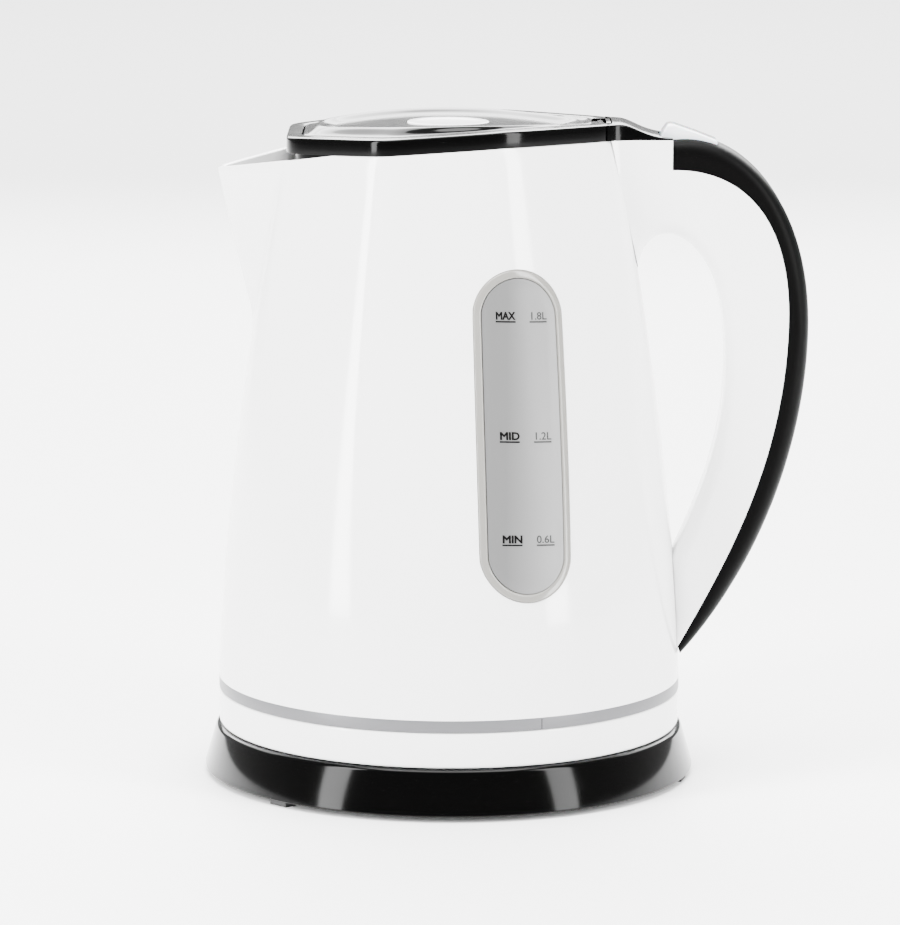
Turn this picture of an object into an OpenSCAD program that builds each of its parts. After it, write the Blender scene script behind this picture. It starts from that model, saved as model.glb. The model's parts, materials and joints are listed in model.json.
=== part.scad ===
// Electric kettle: a tall plastic jug with a looped handle that turns on, and lifts off, a round power base.
// Millimetres, +Z up. Every module draws around the jug's upright axis, with the spout towards -X and the
// handle towards +X; in_frame() then moves the whole kettle so that its footprint is centred on the origin.

/* [Power base] */
// Radius of the power base at its lower edge
base_r = 90; // [80:1:110]
// How far the skirt leans in between its lower and upper edge
skirt_lean = 5; // [2:0.5:10]
// Height of the rubber feet below the skirt
foot_h = 2; // [1:0.5:4]
// Height of the skirt
skirt_h = 16.5; // [14:0.5:30]
// Wall thickness of the power base
base_wall = 2.2; // [1.6:0.1:3]
// Number of feet
foot_n = 3; // [3:1:6]
// Width of each foot
foot_w = 8; // [5:0.5:14]
// Length of each foot, inwards from the skirt
foot_l = 9; // [6:0.5:14]
// Direction of the first foot, in degrees from the handle
foot_turn = -133.6; // [-180:0.1:180]
// Radius of the hole that the mains lead comes through
cord_hole_r = 3.4; // [2.5:0.1:5]

/* [Jug] */
// Radius of the jug at its lower edge
jug_r = 85; // [75:1:100]
// Height of the white ring at the foot of the jug
trim_h = 12.8; // [8:0.2:25]
// Height of the satin band above that ring
band_h = 4.5; // [2:0.5:10]
// Height of the jug shell, from the band to its rim
shell_h = 198.2; // [150:1:250]
// Wall thickness of the jug
wall = 2.8; // [2:0.1:4]
// Height of the heating plate above the foot of the jug
plate_rise = 46.5; // [40:0.5:60]

/* [Top outline] */
// From the axis to the flat front of the collar, and to its rear
top_x = 59.2; // [50:0.2:75]
// Half the width of that flat front
front_half = 26; // [18:0.5:34]
// Widest corner of the outline: how far it lies in front of the axis
side_x = 24; // [10:0.5:40]
// Widest corner of the outline: its half width
side_half = 52; // [44:0.5:65]
// Corner behind the axis: how far behind it lies
rear_x = 19.6; // [10:0.2:35]
// Corner behind the axis: its half width
rear_half = 43; // [36:0.5:52]
// Half width of the collar where the tail begins
tail_root_half = 15.8; // [13:0.2:20]
// From the axis to the end of the tail
tail_x = 80; // [76:0.5:95]
// Crispness of the corners: a higher number is sharper
crisp = 26; // [12:1:40]
// How far the whole top dips for each millimetre from the rear corner towards the spout
top_slope = 0.05; // [0:0.005:0.08]

/* [Spout] */
// From the axis to the tip of the spout
spout_x = 87.6; // [80:0.2:100]
// Angle between the jug's length and each cheek of the spout
spout_angle = 41; // [35:1:50]
// How far below the rim the spout begins
spout_drop = 71; // [45:1:100]
// How far the rim dips for each millimetre along the spout, besides the slope of the whole top
spout_slope = 0.145; // [0.05:0.005:0.25]

/* [Handle] */
// From the axis to the outermost point of the handle
handle_reach = 130.2; // [120:0.2:150]
// Width of the handle
handle_w = 24.6; // [20:0.2:32]
// How far the outermost point lies below the rim
handle_drop = 72; // [55:1:90]
// Height of the handle's lower tip above the worktop
handle_tip_z = 45; // [40:1:60]
// Thickness of the soft grip at the outermost point
grip_t = 7.5; // [6:0.5:11]
// Height of the grip's front end
grip_front_h = 10.8; // [9:0.2:18]
// Wall thickness of the grip
grip_wall = 2.2; // [1.6:0.1:3]
// Thickness of loop and grip together, at the outermost point
loop_t = 30.2; // [27:0.2:36]
// Height of the handle's root, from the rim down to the finger gap
root_h = 34.5; // [28:0.5:45]
// Height of the finger gap's lower end above the worktop
gap_bottom_z = 81; // [75:1:100]

/* [Window] */
// Direction of the window, in degrees from the handle
window_turn = -68; // [-90:1:-60]
// How far the window leans towards the handle, in degrees
window_lean = 3; // [0:0.5:6]
// Height of the window's middle above the worktop
window_z = 134.4; // [125:0.2:145]
// Half width of the window and its frame
window_half_w = 17.4; // [12:0.2:21]
// Half height of the window and its frame
window_half_h = 57.6; // [40:0.2:60]
// Width of the frame's border
window_border = 3; // [2:0.2:5]

/* [Lid and collar] */
// Height of the collar above the rim
collar_h = 5.8; // [5:0.2:9]
// Width of the collar's flat top around the lid
lid_inset = 8; // [6:0.2:10]
// The same at the front
lid_front_inset = 6; // [5:0.2:9]
// Gap around the lid
lid_gap = 0.4; // [0.3:0.05:0.8]
// Depth of the lid's inner tray
tray_h = 13; // [11:0.5:18]
// Radius of the lid button
button_r = 15; // [10:0.5:17]
// Travel of the lid button
button_travel = 2.5; // [1.5:0.1:3]
// Radius of the hinge pin
hinge_pin_r = 1.5; // [1.2:0.1:1.8]

/* [Switch] */
// Width of the switch lever
lever_w = 15.6; // [10:0.2:17]
// Radius of the lever's pin
lever_pin_r = 1.2; // [1:0.1:1.5]

/* [Connector] */
// Radius of the turning stud
stud_r = 6.5; // [5:0.1:8]
// Height of the stud above the power base
stud_h = 18; // [14:0.5:22]
// Radius of the connector in the power base
connector_r = 20; // [19:0.5:24]

/* [Hidden] */
$fn = 72;

fit = 0.05;          // radial clearance of a turning fit
seat = 0.15;         // gap around a piece that is pressed or glued in
clear = 0.3;         // gap between bodies that move past each other
screw_r = 1.5;       // screw shanks
head_r = 3;          // screw heads
head_h = 1.2;
boss_r = 4.6;        // screw bosses
over = 1;            // how far a cut runs past the face it opens

base_top = foot_h + skirt_h;
base_top_r = base_r - skirt_lean;
deck_z = base_top - clear;
trim_top = base_top + trim_h;
band_top = trim_top + band_h;
rim_z = band_top + shell_h;
top_z = rim_z + collar_h;
plate_z = base_top + plate_rise;
frame_x = (handle_reach - base_r) / 2;      // half way between the handle and the edge of the base

// ---- the jug's outline -------------------------------------------------------------------------------
taper_z = base_top + 2.5;     // the jug starts to narrow here
taper_power = 1.7;            // how late it narrows
blend_z = base_top + 51.5;    // round below this height, then turning into the top outline
blend_power = 1.1;
columns = 60;                 // points around the jug
levels = 14;                  // rings from the band to the rim

function side_plane(p, q) =
    let (along = q - p, n = [-along.y, along.x] / norm(along)) [n.x, n.y, n * p];
front_corner = [-top_x, front_half];
side_corner = [-side_x, side_half];
rear_corner = [rear_x, rear_half];
tail_corner = [top_x - 1.3, tail_root_half];
side_planes = [side_plane(front_corner, side_corner), side_plane(side_corner, rear_corner),
    side_plane(rear_corner, tail_corner)];

// Distance from the axis to the top outline in direction a, moved inwards by `inset`; the front face
// moves by `front` instead. The outline is a smooth minimum over its flat sides.
function plan_r(a, inset = 0, front = undef) =
    let (u = [cos(a), sin(a)], fi = is_undef(front) ? inset : front,
        walls = concat([[-1, 0, top_x - fi], [1, 0, top_x - inset]],
            [for (p = side_planes, s = [1, -1]) [p.x, s * p.y, p.z - inset]]),
        pull = [for (w = walls) pow(max(0, w.x * u.x + w.y * u.y) / w.z, crisp)])
    pow(pull * [for (p = pull) 1], -1 / crisp);
function turn(i, n = columns) = 360 * i / n;
function plan(inset = 0, front = undef) =
    [for (i = [0:columns - 1]) plan_r(turn(i), inset, front) * [cos(turn(i)), sin(turn(i))]];

// Half length of the jug at height z
function body_r(z) = jug_r - (jug_r - top_x) * pow(max(0, z - taper_z) / (rim_z - taper_z), taper_power);
// Distance from the axis to the spout's edge at height z
spout_z = rim_z - spout_drop;
spout_start = top_x - 16;
lip_z = rim_at(-spout_x);
function spout_edge(z) = z <= spout_z ? 0 : let (foot = body_r(spout_z), s = (z - spout_z) / (lip_z - spout_z))
    foot + (spout_x - foot) * pow(min(1, s), 0.85);
function ease(t) = let (s = min(1, max(0, t))) s * s * (3 - 2 * s);
// Distance from the axis to the jug's outer wall in direction a at height z
function jug_wall(a, z) =
    let (w = pow(max(0, z - blend_z) / (rim_z - blend_z), blend_power),
        round_r = body_r(z) * (1 - w + w * plan_r(a) / top_x),
        off = abs((a % 360 + 360) % 360 - 180),
        cheek = spout_edge(z) * sin(spout_angle)
            / (sin(spout_angle) * cos(min(off, 80)) + cos(spout_angle) * sin(min(off, 80))),
        show = ease((cheek_end - off) / (cheek_end - cheek_full)))
    round_r + show * max(0, cheek - round_r);
cheek_full = 40;              // the cheeks stand fully proud up to this angle from the spout's edge
cheek_end = 62;               // and have sunk into the jug here
// The top is level behind the rear corner, slopes down in front of it, and faster along the spout
function sag(x) = top_slope * max(0, rear_x - x);
function rim_at(x) = rim_z - sag(x) - spout_slope * max(0, -spout_start - x);
function column_top(a) = rim_at(cos(a) * jug_wall(a, rim_z - collar_h));
function ring_z(a, t) = band_top + t * (column_top(a) - band_top);
function jug_ring(t, inset = 0) = [for (i = [0:columns - 1])
    let (a = turn(i), z = ring_z(a, t), r = jug_wall(a, z) - inset) [r * cos(a), r * sin(a), z]];

// ---- general shapes ----------------------------------------------------------------------------------
// Skin through a stack of rings, each listed anticlockwise as seen from above. A loop closes on itself;
// otherwise the ends are closed by fans around their middles, or around the two points in `ends`.
function middle(ring) = [for (r = ring) 1] * ring / len(ring);
module skin(rings, loop = false, ends = undef) {
    n = len(rings[0]);
    m = len(rings);
    sides = [for (i = [0:m - (loop ? 1 : 2)], j = [0:n - 1], half = [0, 1])
        let (a = i * n + j, b = i * n + (j + 1) % n, k = (i + 1) % m * n, c = k + (j + 1) % n, d = k + j)
        half == 0 ? [a, d, c] : [a, c, b]];
    caps = loop ? [] : [for (j = [0:n - 1], end = [0, 1]) end == 0
        ? [m * n, j, (j + 1) % n] : [m * n + 1, (m - 1) * n + (j + 1) % n, (m - 1) * n + j]];
    points = [for (r = rings) each r];
    tips = loop ? [] : is_undef(ends) ? [middle(rings[0]), middle(rings[m - 1])] : ends;
    polyhedron(points = concat(points, tips), faces = concat(sides, caps), convexity = 8);
}
module slab(outline, z0, z1) { translate([0, 0, z0]) linear_extrude(z1 - z0) polygon(outline); }
// A slab that dips with the top, or by a share of it; with `level`, its lower face stays level
module bent_slab(outline, z0, z1, level = false, share = 1) {
    skin([for (top = [0, 1]) [for (p = outline)
        [p.x, p.y, top == 1 ? z1 - share * sag(p.x) : level ? z0 : z0 - share * sag(p.x)]]],
        ends = [[rear_x, 0, z0], [rear_x, 0, z1]]);
}
module across(outline, w) {   // an outline in X and Z, made w wide
    rotate([90, 0, 0]) linear_extrude(w, center = true) polygon(outline);
}
module ring(r_out, r_in, z0, z1) {
    translate([0, 0, z0]) difference() {
        cylinder(r = r_out, h = z1 - z0);
        translate([0, 0, -over]) cylinder(r = r_in, h = z1 - z0 + 2 * over);
    }
}
module post(r, z0, z1) { translate([0, 0, z0]) cylinder(r = r, h = z1 - z0); }
module crosswise(r, l) { rotate([90, 0, 0]) cylinder(r = r, h = l, center = true); }
module around(n, r, first = 0) { for (i = [0:n - 1]) rotate(first + 360 * i / n) translate([r, 0, 0]) children(); }
module screw(z0, z1) {
    post(head_r, z0, z0 + head_h);
    post(screw_r, z0 + head_h, z1);
}
// A round tube along points, as one skin of square-cut rings
function unit(v) = v / norm(v);
module tube(path, r, sides = 8) {
    last = len(path) - 1;
    side = [0, 1, 0];
    skin([for (i = [0:last])
        let (t = unit(path[min(i + 1, last)] - path[max(i - 1, 0)]),
            u = unit(side - (side * t) * t), v = cross(t, u))
        [for (k = [0:sides - 1]) path[i] + r * (cos(turn(k, sides)) * u + sin(turn(k, sides)) * v)]]);
}
// A cubic curve chain: every third point lies on the curve
function bend(p, t) = pow(1 - t, 3) * p[0] + 3 * pow(1 - t, 2) * t * p[1] + 3 * (1 - t) * t * t * p[2]
    + pow(t, 3) * p[3];
function curve(p, steps = 10) = [for (s = [0:3:len(p) - 4], i = [s == 0 ? 0 : 1:steps])
    bend([p[s], p[s + 1], p[s + 2], p[s + 3]], i / steps)];

// ---- the handle's curves, in X and Z -----------------------------------------------------------------
gap_top_z = rim_z - root_h;
mid_z = rim_z - handle_drop;
tip = [body_r(handle_tip_z), handle_tip_z];
function sweep_down(top, mid, low, k) = [top, top + [k[0] * (mid.x - top.x), k[1]],
    mid + [k[2], k[3] * (top.y - mid.y)], mid, mid - [k[4], k[5] * (mid.y - low.y)],
    low + [k[6] * (mid.x - low.x), k[7] * (mid.y - low.y)], low];
outer_curve = curve(sweep_down([tail_x, rim_z], [handle_reach, mid_z], tip + [0.4, 0],
    [0.5, 3.6, 1.4, 0.68, 0.93, 0.34, 0.63, 0.267]));
seam_curve = curve(sweep_down([tail_x, rim_z - grip_front_h], [handle_reach - grip_t, mid_z + 5], tip + [-0.6, 3],
    [0.6, 0.6, 0.74, 0.69, 0.93, 0.417, 0.469, 0.275]));
loop_x = handle_reach - loop_t;
shoulder = [body_r(gap_top_z - 12.5), gap_top_z - 12.5];
gap_curve = curve([shoulder, shoulder + [1, 13], [loop_x - 20, gap_top_z + 3.5], [loop_x - 12, gap_top_z - 4.5],
    [loop_x - 2, gap_top_z - 15], [loop_x - 0.5, gap_top_z - 29.5], [loop_x, gap_top_z - 44],
    [loop_x + 1, gap_bottom_z + 48], [loop_x - 7, gap_bottom_z + 24], [body_r(gap_bottom_z) - 0.5, gap_bottom_z]]);
inside_x = top_x - 6;         // well inside the jug
function reversed(v) = [for (i = [len(v) - 1:-1:0]) v[i]];
// A curve moved sideways by d, to the right as it is followed
function beside(c, d) = [for (i = [0:len(c) - 1])
    let (t = unit(c[min(i + 1, len(c) - 1)] - c[max(i - 1, 0)])) c[i] + d * [t.y, -t.x]];
function part_of(c, first, last) = [for (i = [first:last]) c[i]];
channel_first = 1;            // the wiring channel runs between these points of the curves
channel_last = 16;
lead_path = [for (i = [2:channel_last]) (outer_curve[i] + seam_curve[i]) / 2 - [grip_wall / 4, 0]];
lead_exit = lead_path[len(lead_path) - 1];
lead_entry = [jug_r - 10, base_top + 27];
lead_r = 1.2;
lead_half = 2.2;              // half the distance between the two leads
passage_r = 4;

// The jug's outer shape, filled, with a slightly domed top
module jug_solid() { skin([for (k = [0:levels]) jug_ring(k / levels)], ends = [[0, 0, band_top], [0, 0, rim_z + 2]]); }
module lead_passage() {
    run = lead_exit - lead_entry;
    translate([lead_entry.x, 0, lead_entry.y]) rotate([0, 90 - atan2(run.y, run.x), 0])
        cylinder(r = passage_r, h = norm(run) + over);
}
module handle_plan() {        // the handle seen from above: wide at its root, then straight
    half = handle_w / 2;
    root = tail_root_half + 0.4 * (top_x - inside_x);
    slab([[inside_x, -root], [top_x - 1.3, -tail_root_half], [tail_x, -half], [handle_reach + over, -half],
        [handle_reach + over, half], [tail_x, half], [top_x - 1.3, tail_root_half], [inside_x, root]],
        0, rim_z + over);
}

// ---- power base --------------------------------------------------------------------------------------
edge = 0.8;                   // broken edges of the skirt
plate_t = 2;
base_boss_x = 58;
connector_seat = foot_h + plate_t + 4;
connector_top = base_top + 3.5;
slot_in = stud_r + 2.5;       // two round slots for the ring contacts
slot_w = 3;
slot_step = 5;
module base_skirt() {
    color([0.03, 0.03, 0.03]) {
        difference() {
            union() {
                rotate_extrude() polygon([[base_r - edge, foot_h], [base_r, foot_h + edge],
                    [base_top_r + 0.6, base_top - 2 * edge], [base_top_r - edge, deck_z],
                    [connector_r + seat, deck_z], [connector_r + seat, deck_z - base_wall],
                    [base_top_r - base_wall - 1, deck_z - base_wall], [base_r - base_wall - 0.6, foot_h]]);
                around(3, base_boss_x) post(boss_r, foot_h + plate_t + seat, deck_z - base_wall + edge);
            }
            around(3, base_boss_x) post(screw_r, foot_h, deck_z - base_wall - over);
            translate([0, base_r, cord_z]) crosswise(cord_hole_r + bush_wall, 4 * base_wall + 8);
        }
    }
}
module base_plate() {
    color([0.05, 0.05, 0.05]) difference() {
        post(base_r - base_wall - 1.8, foot_h, foot_h + plate_t);
        around(3, base_boss_x) post(screw_r + fit, 0, base_top);
        around(3, base_boss_x) post(head_r + fit, 0, foot_h + head_h + 0.2);
    }
}
module base_feet() {
    color([0.1, 0.1, 0.1]) around(foot_n, base_r - 1.5 - foot_l / 2, foot_turn)
        translate([-foot_l / 2, -foot_w / 2, 0]) cube([foot_l, foot_w, foot_h]);
}
module base_screws() {
    color("silver") around(3, base_boss_x) screw(foot_h + 0.2, deck_z - base_wall - 2);
}
module base_connector() {
    color([0.12, 0.12, 0.12]) difference() {
        union() {
            post(connector_r, connector_seat, connector_top);
            post(connector_r + 4, connector_seat, deck_z - base_wall - seat);
        }
        post(stud_r + fit, connector_seat + 2, connector_top + over);
        for (k = [0, 1]) ring(slot_in + k * slot_step + slot_w, slot_in + k * slot_step,
            connector_seat + 4, connector_top + over);
    }
}
module base_contacts() {
    color("goldenrod") for (k = [0, 1])
        around(2, slot_in + k * slot_step + slot_w / 2, 90 * k)
            post(slot_w / 2 - seat, connector_seat + 4, connector_seat + 6);
}
bush_wall = 1.4;
cord_z = foot_h + plate_t + cord_hole_r + bush_wall + 1.2;
module cord_bush() {
    color([0.02, 0.02, 0.02]) translate([0, base_r - 4, cord_z]) difference() {
        union() {
            crosswise(cord_hole_r + bush_wall - 0.02, 8);
            translate([0, -5, 0]) crosswise(cord_hole_r + bush_wall + 1, 2);
        }
        crosswise(cord_hole_r, 20);
    }
}
module cord_clamp() {
    color([0.8, 0.8, 0.78]) translate([0, base_r - 22, foot_h + plate_t]) difference() {
        translate([-9, -3, 0]) cube([18, 6, cord_z - foot_h - plate_t + cord_hole_r + 1.5]);
        translate([0, 0, cord_z - foot_h - plate_t]) crosswise(cord_hole_r, 20);
    }
}
module contact_stud() {
    color("silver") {
        post(stud_r, connector_seat + 2 + clear, base_top + stud_h - 2);
        translate([0, 0, base_top + stud_h - 2]) rotate_extrude()
            polygon([[0, 0], [stud_r, 0], [stud_r - 0.6, 1.2], [stud_r - 2, 2], [0, 2]]);
    }
}

// ---- foot of the jug ---------------------------------------------------------------------------------
trim_r = jug_r - 0.4;
sleeve_top = band_top + 10;
sleeve_r = body_r(sleeve_top) * cos(180 / columns) - wall - seat;
sleeve_t = 1.8;
cover_z = base_top + 1.5;
cover_t = 2.5;
socket_gap = 1.5;             // between the base's connector and the jug's cover
cover_boss_x = sleeve_r - sleeve_t - boss_r + 0.6;
function socket_r() = connector_r + socket_gap;
module lower_trim() {
    color("white") difference() {
        union() {
            ring(trim_r, sleeve_r - sleeve_t, base_top, trim_top);
            ring(sleeve_r, sleeve_r - sleeve_t, trim_top - edge, sleeve_top);
            around(3, cover_boss_x, 30) post(boss_r, cover_z + cover_t, sleeve_top - 4);
        }
        around(3, cover_boss_x, 30) post(screw_r, base_top, sleeve_top - 6);
        post(sleeve_r - sleeve_t + 0.4, base_top - over, cover_z + cover_t);
    }
}
module waist_band() { color([0.62, 0.62, 0.63]) ring(trim_r + 0.1, sleeve_r + seat, trim_top, band_top); }
module jug_base_cover() {
    color([0.9, 0.9, 0.9]) difference() {
        post(sleeve_r - sleeve_t + 0.2, cover_z, cover_z + cover_t);
        post(socket_r(), 0, rim_z);
        around(3, cover_boss_x, 30) post(screw_r + fit, 0, rim_z);
        around(3, cover_boss_x, 30) post(head_r + fit, 0, cover_z + head_h + 0.2);
        around(6, (socket_r() + cover_boss_x) / 2, 0) post(2, 0, rim_z);
    }
}
module cover_screws() { color("silver") around(3, cover_boss_x, 30) screw(cover_z + 0.2, sleeve_top - 8); }
control_z = connector_top + clear;
socket_depth = base_top + stud_h + 1.5;
module control_unit() {
    color([0.15, 0.15, 0.16]) difference() {
        union() {
            post(connector_r + 4, cover_z + cover_t + 0.2, socket_depth + 5);
            post(connector_r - 2, control_z, plate_z - plate_stack);
            post(connector_r, control_z, socket_depth);
        }
        post(stud_r + fit, control_z - over, socket_depth);
        ring(connector_r + 5, connector_r + clear, control_z - 2, cover_z + cover_t + 0.2);
        translate([0, 0, plate_z - plate_stack - 2]) for (s = [-1, 1]) translate([0, 9 * s, 0]) cylinder(r = 8, h = 4);
        translate([connector_r + 1, -5, base_top + 17]) cube([10, 10, 8]);
    }
}
module contact_rings() {
    color("goldenrod") for (k = [0, 1])
        ring(slot_in + k * slot_step + slot_w / 2 + 0.5, slot_in + k * slot_step + slot_w / 2 - 0.5,
            connector_seat + 7, control_z);
}
steel_t = 1.2;
spreader_t = 2.5;
plate_stack = steel_t + spreader_t;
plate_r = body_r(plate_z) - wall - 3;
module safety_bimetal() {
    color([0.75, 0.7, 0.6]) for (s = [-1, 1])
        translate([0, 9 * s, 0]) post(7.6, plate_z - plate_stack - 1.6, plate_z - plate_stack - 0.4);
}
element_r = 48;
element_tube_r = 3.4;
module heating_element() {
    color([0.6, 0.6, 0.6]) {
        translate([0, 0, plate_z - plate_stack - element_tube_r]) rotate(30) rotate_extrude(angle = 300)
            translate([element_r, 0]) circle(r = element_tube_r, $fn = 24);
        for (s = [-1, 1]) rotate(36 * s) translate([element_r, 0, plate_z - plate_stack - element_tube_r - 12])
            cylinder(r = element_tube_r - 0.6, h = 12);
    }
}
module heat_spreader() { color([0.8, 0.8, 0.82]) post(element_r + 12, plate_z - plate_stack, plate_z - steel_t); }
flange_h = 6;
module heating_plate() {
    color([0.78, 0.78, 0.78]) {
        post(plate_r, plate_z - steel_t, plate_z);
        ring(plate_r, plate_r - 1, plate_z - flange_h, plate_z - steel_t);
    }
}
seal_r = body_r(plate_z) - wall - seat;
module plate_seal() { color([0.85, 0.85, 0.8]) ring(seal_r, plate_r, plate_z - flange_h, plate_z - 0.4); }
ledge_t = 2;

// ---- jug ---------------------------------------------------------------------------------------------
module jug_shell() {
    color("white") difference() {
        union() {
            skin(concat([for (k = [0:levels]) jug_ring(k / levels)],
                [for (k = [levels:-1:0]) jug_ring(k / levels, wall)]), loop = true);
            ring(body_r(plate_z) - wall + over, plate_r - 2, plate_z, plate_z + ledge_t);
        }
        window_cut(window_half_w + seat, window_half_h + seat);
        lead_passage();
    }
}
// The window: a pill drawn on a plane square to its direction, then carried out onto the jug's wall
function on_wall(s, z, inset, a = undef, n = 4) =
    let (r = jug_wall(is_undef(a) ? window_turn : a, z) - inset, out = sqrt(r * r - s * s))
    n == 0 ? out * [cos(window_turn), sin(window_turn), 0] + s * [-sin(window_turn), cos(window_turn), 0] + [0, 0, z]
    : on_wall(s, z, inset, window_turn + atan2(s, out), n - 1);
pill_points = 32;
function pill(w, h) = [for (k = [0:pill_points - 1])
    let (a = turn(k + 0.5, pill_points)) [w * cos(a), w * sin(a) + (h - w) * sign(sin(a))]];
function pill_ring(w, h, inset) = let (c = cos(window_lean), s = sin(window_lean))
    [for (p = pill(w, h)) on_wall(p.x * c + p.y * s, window_z - p.x * s + p.y * c, inset)];
module window_cut(w, h) {
    rotate(window_turn + 90) rotate([90, 0, 0]) translate([0, window_z, top_x / 2]) rotate(-window_lean)
    linear_extrude(jug_r) {
        square([2 * w, 2 * (h - w)], center = true);
        for (s = [-1, 1]) translate([0, s * (h - w)]) circle(r = w);
    }
}
// A piece that follows the wall between two insets, from the pill's edge inwards; its middle is closed
module pane(w, h, outer, inner) {
    steps = [0.12, 0.5, 1];
    skin(concat([for (k = steps) pill_ring(w * k, h - w * (1 - k), inner)],
        [for (k = reversed(steps)) pill_ring(w * k, h - w * (1 - k), outer)]));
}
module rim_pane(w, h, border, outer, inner) {
    w_in = w - border;
    h_in = h - border;
    skin([pill_ring(w_in, h_in, inner), pill_ring(w, h, inner), pill_ring(w, h, outer),
        pill_ring(w_in, h_in, outer)], loop = true);
}
module window_frame() {
    color([0.9, 0.9, 0.92, 0.6]) rim_pane(window_half_w, window_half_h, window_border, -0.5, wall + 0.1);
}
module water_window() {
    color([0.7, 0.7, 0.7, 0.8])
        pane(window_half_w - window_border - 0.1, window_half_h - window_border - 0.1, 0.2, wall - 0.4);
}
module window_seal() {
    color([0.8, 0.8, 0.8]) rim_pane(window_half_w + 4, window_half_h + 4, 6, wall + 0.3, wall + 1.8);
}

// ---- collar ------------------------------------------------------------------------------------------
insert_bottom = rim_z - 12;
insert_inset = wall + 0.4;
shelf_top = rim_z - 0.1;      // the lid rests just above this
shelf_h = 2.9;
lid_z = rim_z + 0.2;
cover_top = top_z + 0.2;
hinge_at = [top_x - 5, rim_z + 2.8];
knuckle_r = 3;
knuckle_half = 8;
hinge_swing = 4.2;            // beside the knuckle, the cover's rear edge stays this far in front of the pin
hinge_relief = 1.4;           // and its slanted rear sides are narrower by this much
pin_half = 12.5;
catch_half = 6;
tail_drop = 5.2;              // the tail's top falls by this much
tail_curve = curve([[top_x + 1.5, top_z], [tail_x - 14, top_z], [tail_x - 11, top_z - tail_drop + 0.5],
    [tail_x, top_z - tail_drop]], 8);
module collar() {
    color([0.02, 0.02, 0.02]) difference() {
        union() {
            bent_slab(plan(), rim_z, top_z);
            bent_slab(plan(insert_inset), insert_bottom, rim_z + edge, level = true);
            intersection() {
                across(concat([[inside_x, rim_z], [inside_x, top_z]], tail_curve, [[tail_x, rim_z]]), 2 * side_half);
                handle_plan_at(rim_z, top_z + over);
            }
        }
        bent_slab(plan(lid_inset - lid_gap, lid_front_inset - lid_gap), shelf_top, top_z + over);
        slab(plan(lid_inset + 2.6), insert_bottom - over, rim_z + over);
        catch_notch();
        hinge_pocket();
        lever_pocket();
        translate([hinge_at.x, 0, hinge_at.y]) crosswise(hinge_pin_r + 0.02, 2 * pin_half);
    }
}
module catch_notch() {
    translate([-top_x + insert_inset + 1.6, -catch_half, latch_z - over])
        cube([lid_front_inset + 4, 2 * catch_half, rim_z - latch_z]);
}
module handle_plan_at(z0, z1) {
    intersection() {
        translate([0, 0, over]) handle_plan();
        slab([[0, -side_half], [tail_x, -side_half], [tail_x, side_half], [0, side_half]], z0, z1);
    }
}
module hinge_pocket() {
    translate([hinge_at.x - 6, -knuckle_half - 0.4, rim_z - 1]) cube([6 + knuckle_r + 0.5, 2 * knuckle_half + 0.8, 12]);
}
module hinge_pin() {
    color("silver") translate([hinge_at.x, 0, hinge_at.y]) crosswise(hinge_pin_r, 2 * pin_half - 0.4);
}
filter_x = -top_x + 4;
filter_half = 17;
filter_h = 24;
filter_t = 2.2;
filter_bar = 2;
module filter_frame() {
    color([0.95, 0.95, 0.95]) translate([filter_x, 0, insert_bottom - filter_h]) difference() {
        translate([0, -filter_half, 0]) cube([filter_t, 2 * filter_half, filter_h]);
        for (s = [-1, 1]) translate([-over, s * filter_half / 2 - (filter_half - 3) / 2, filter_bar])
            cube([filter_t + 2 * over, filter_half - 3, filter_h - 2 * filter_bar]);
    }
}
mesh_pitch = 2.3;
mesh_wire = 0.5;
module filter_mesh() {
    color("silver") translate([filter_x + filter_t / 2 - mesh_wire / 2, 0, insert_bottom - filter_h + filter_bar])
        for (s = [-1, 1]) translate([0, s * filter_half / 2, 0]) filter_panel(filter_half - 3, filter_h - 2 * filter_bar);
}
module filter_panel(w, h) {
    across_n = floor(w / mesh_pitch);
    up_n = floor(h / mesh_pitch);
    difference() {
        translate([0, -w / 2, 0]) cube([mesh_wire, w, h]);
        for (i = [0:across_n - 1], k = [0:up_n - 1])
            translate([-over, -w / 2 + (i + 0.5) * w / across_n - 0.8, (k + 0.5) * h / up_n - 0.8]) cube([3, 1.6, 1.6]);
    }
}

// ---- handle ------------------------------------------------------------------------------------------
lever_pivot = [tail_x + 7, rim_z - 3.5];
lever_half = lever_w / 2;
pocket_half = lever_half + clear;
module handle_shell() {
    color("white") difference() {
        intersection() {
            across(concat([[inside_x, rim_z], [tail_x, rim_z]], seam_curve, [[inside_x, handle_tip_z]]), 2 * side_half);
            handle_plan();
        }
        jug_solid();
        across(concat([[inside_x, gap_bottom_z]], reversed(gap_curve), [[inside_x, shoulder.y]]), 2 * side_half);
        lever_pocket();
        lead_passage();
    }
}
module lever_pocket() {
    translate([tail_x - 5.2, -pocket_half, rim_z - 8]) cube([22.4, 2 * pocket_half, 16]);
}
module handle_grip() {
    color([0.06, 0.06, 0.06]) difference() {
        across(concat(outer_curve, reversed(seam_curve)), handle_w);
        across(concat(part_of(beside(outer_curve, grip_wall), channel_first, channel_last),
            reversed(part_of(beside(seam_curve, over), channel_first, channel_last))), handle_w - 2 * grip_wall);
        lever_pocket();
        translate([lever_pivot.x, 0, lever_pivot.y]) crosswise(lever_pin_r + 0.02, handle_w - 2);
        lead_passage();
    }
}
switch_x = tail_x + 8.5;
switch_z = rim_z - grip_front_h + 0.7;
switch_body_h = 3.4;
switch_half = handle_w / 2 - grip_wall - 1.2;
module switch_body() {
    color([0.2, 0.2, 0.2]) translate([switch_x, -switch_half, switch_z]) cube([11, 2 * switch_half, switch_body_h]);
}
module steam_bimetal() {
    color([0.75, 0.7, 0.6]) translate([switch_x, 0, switch_z + switch_body_h / 2]) rotate([0, -90, 0])
        cylinder(r = 1.5, h = 0.6);
}
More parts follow.
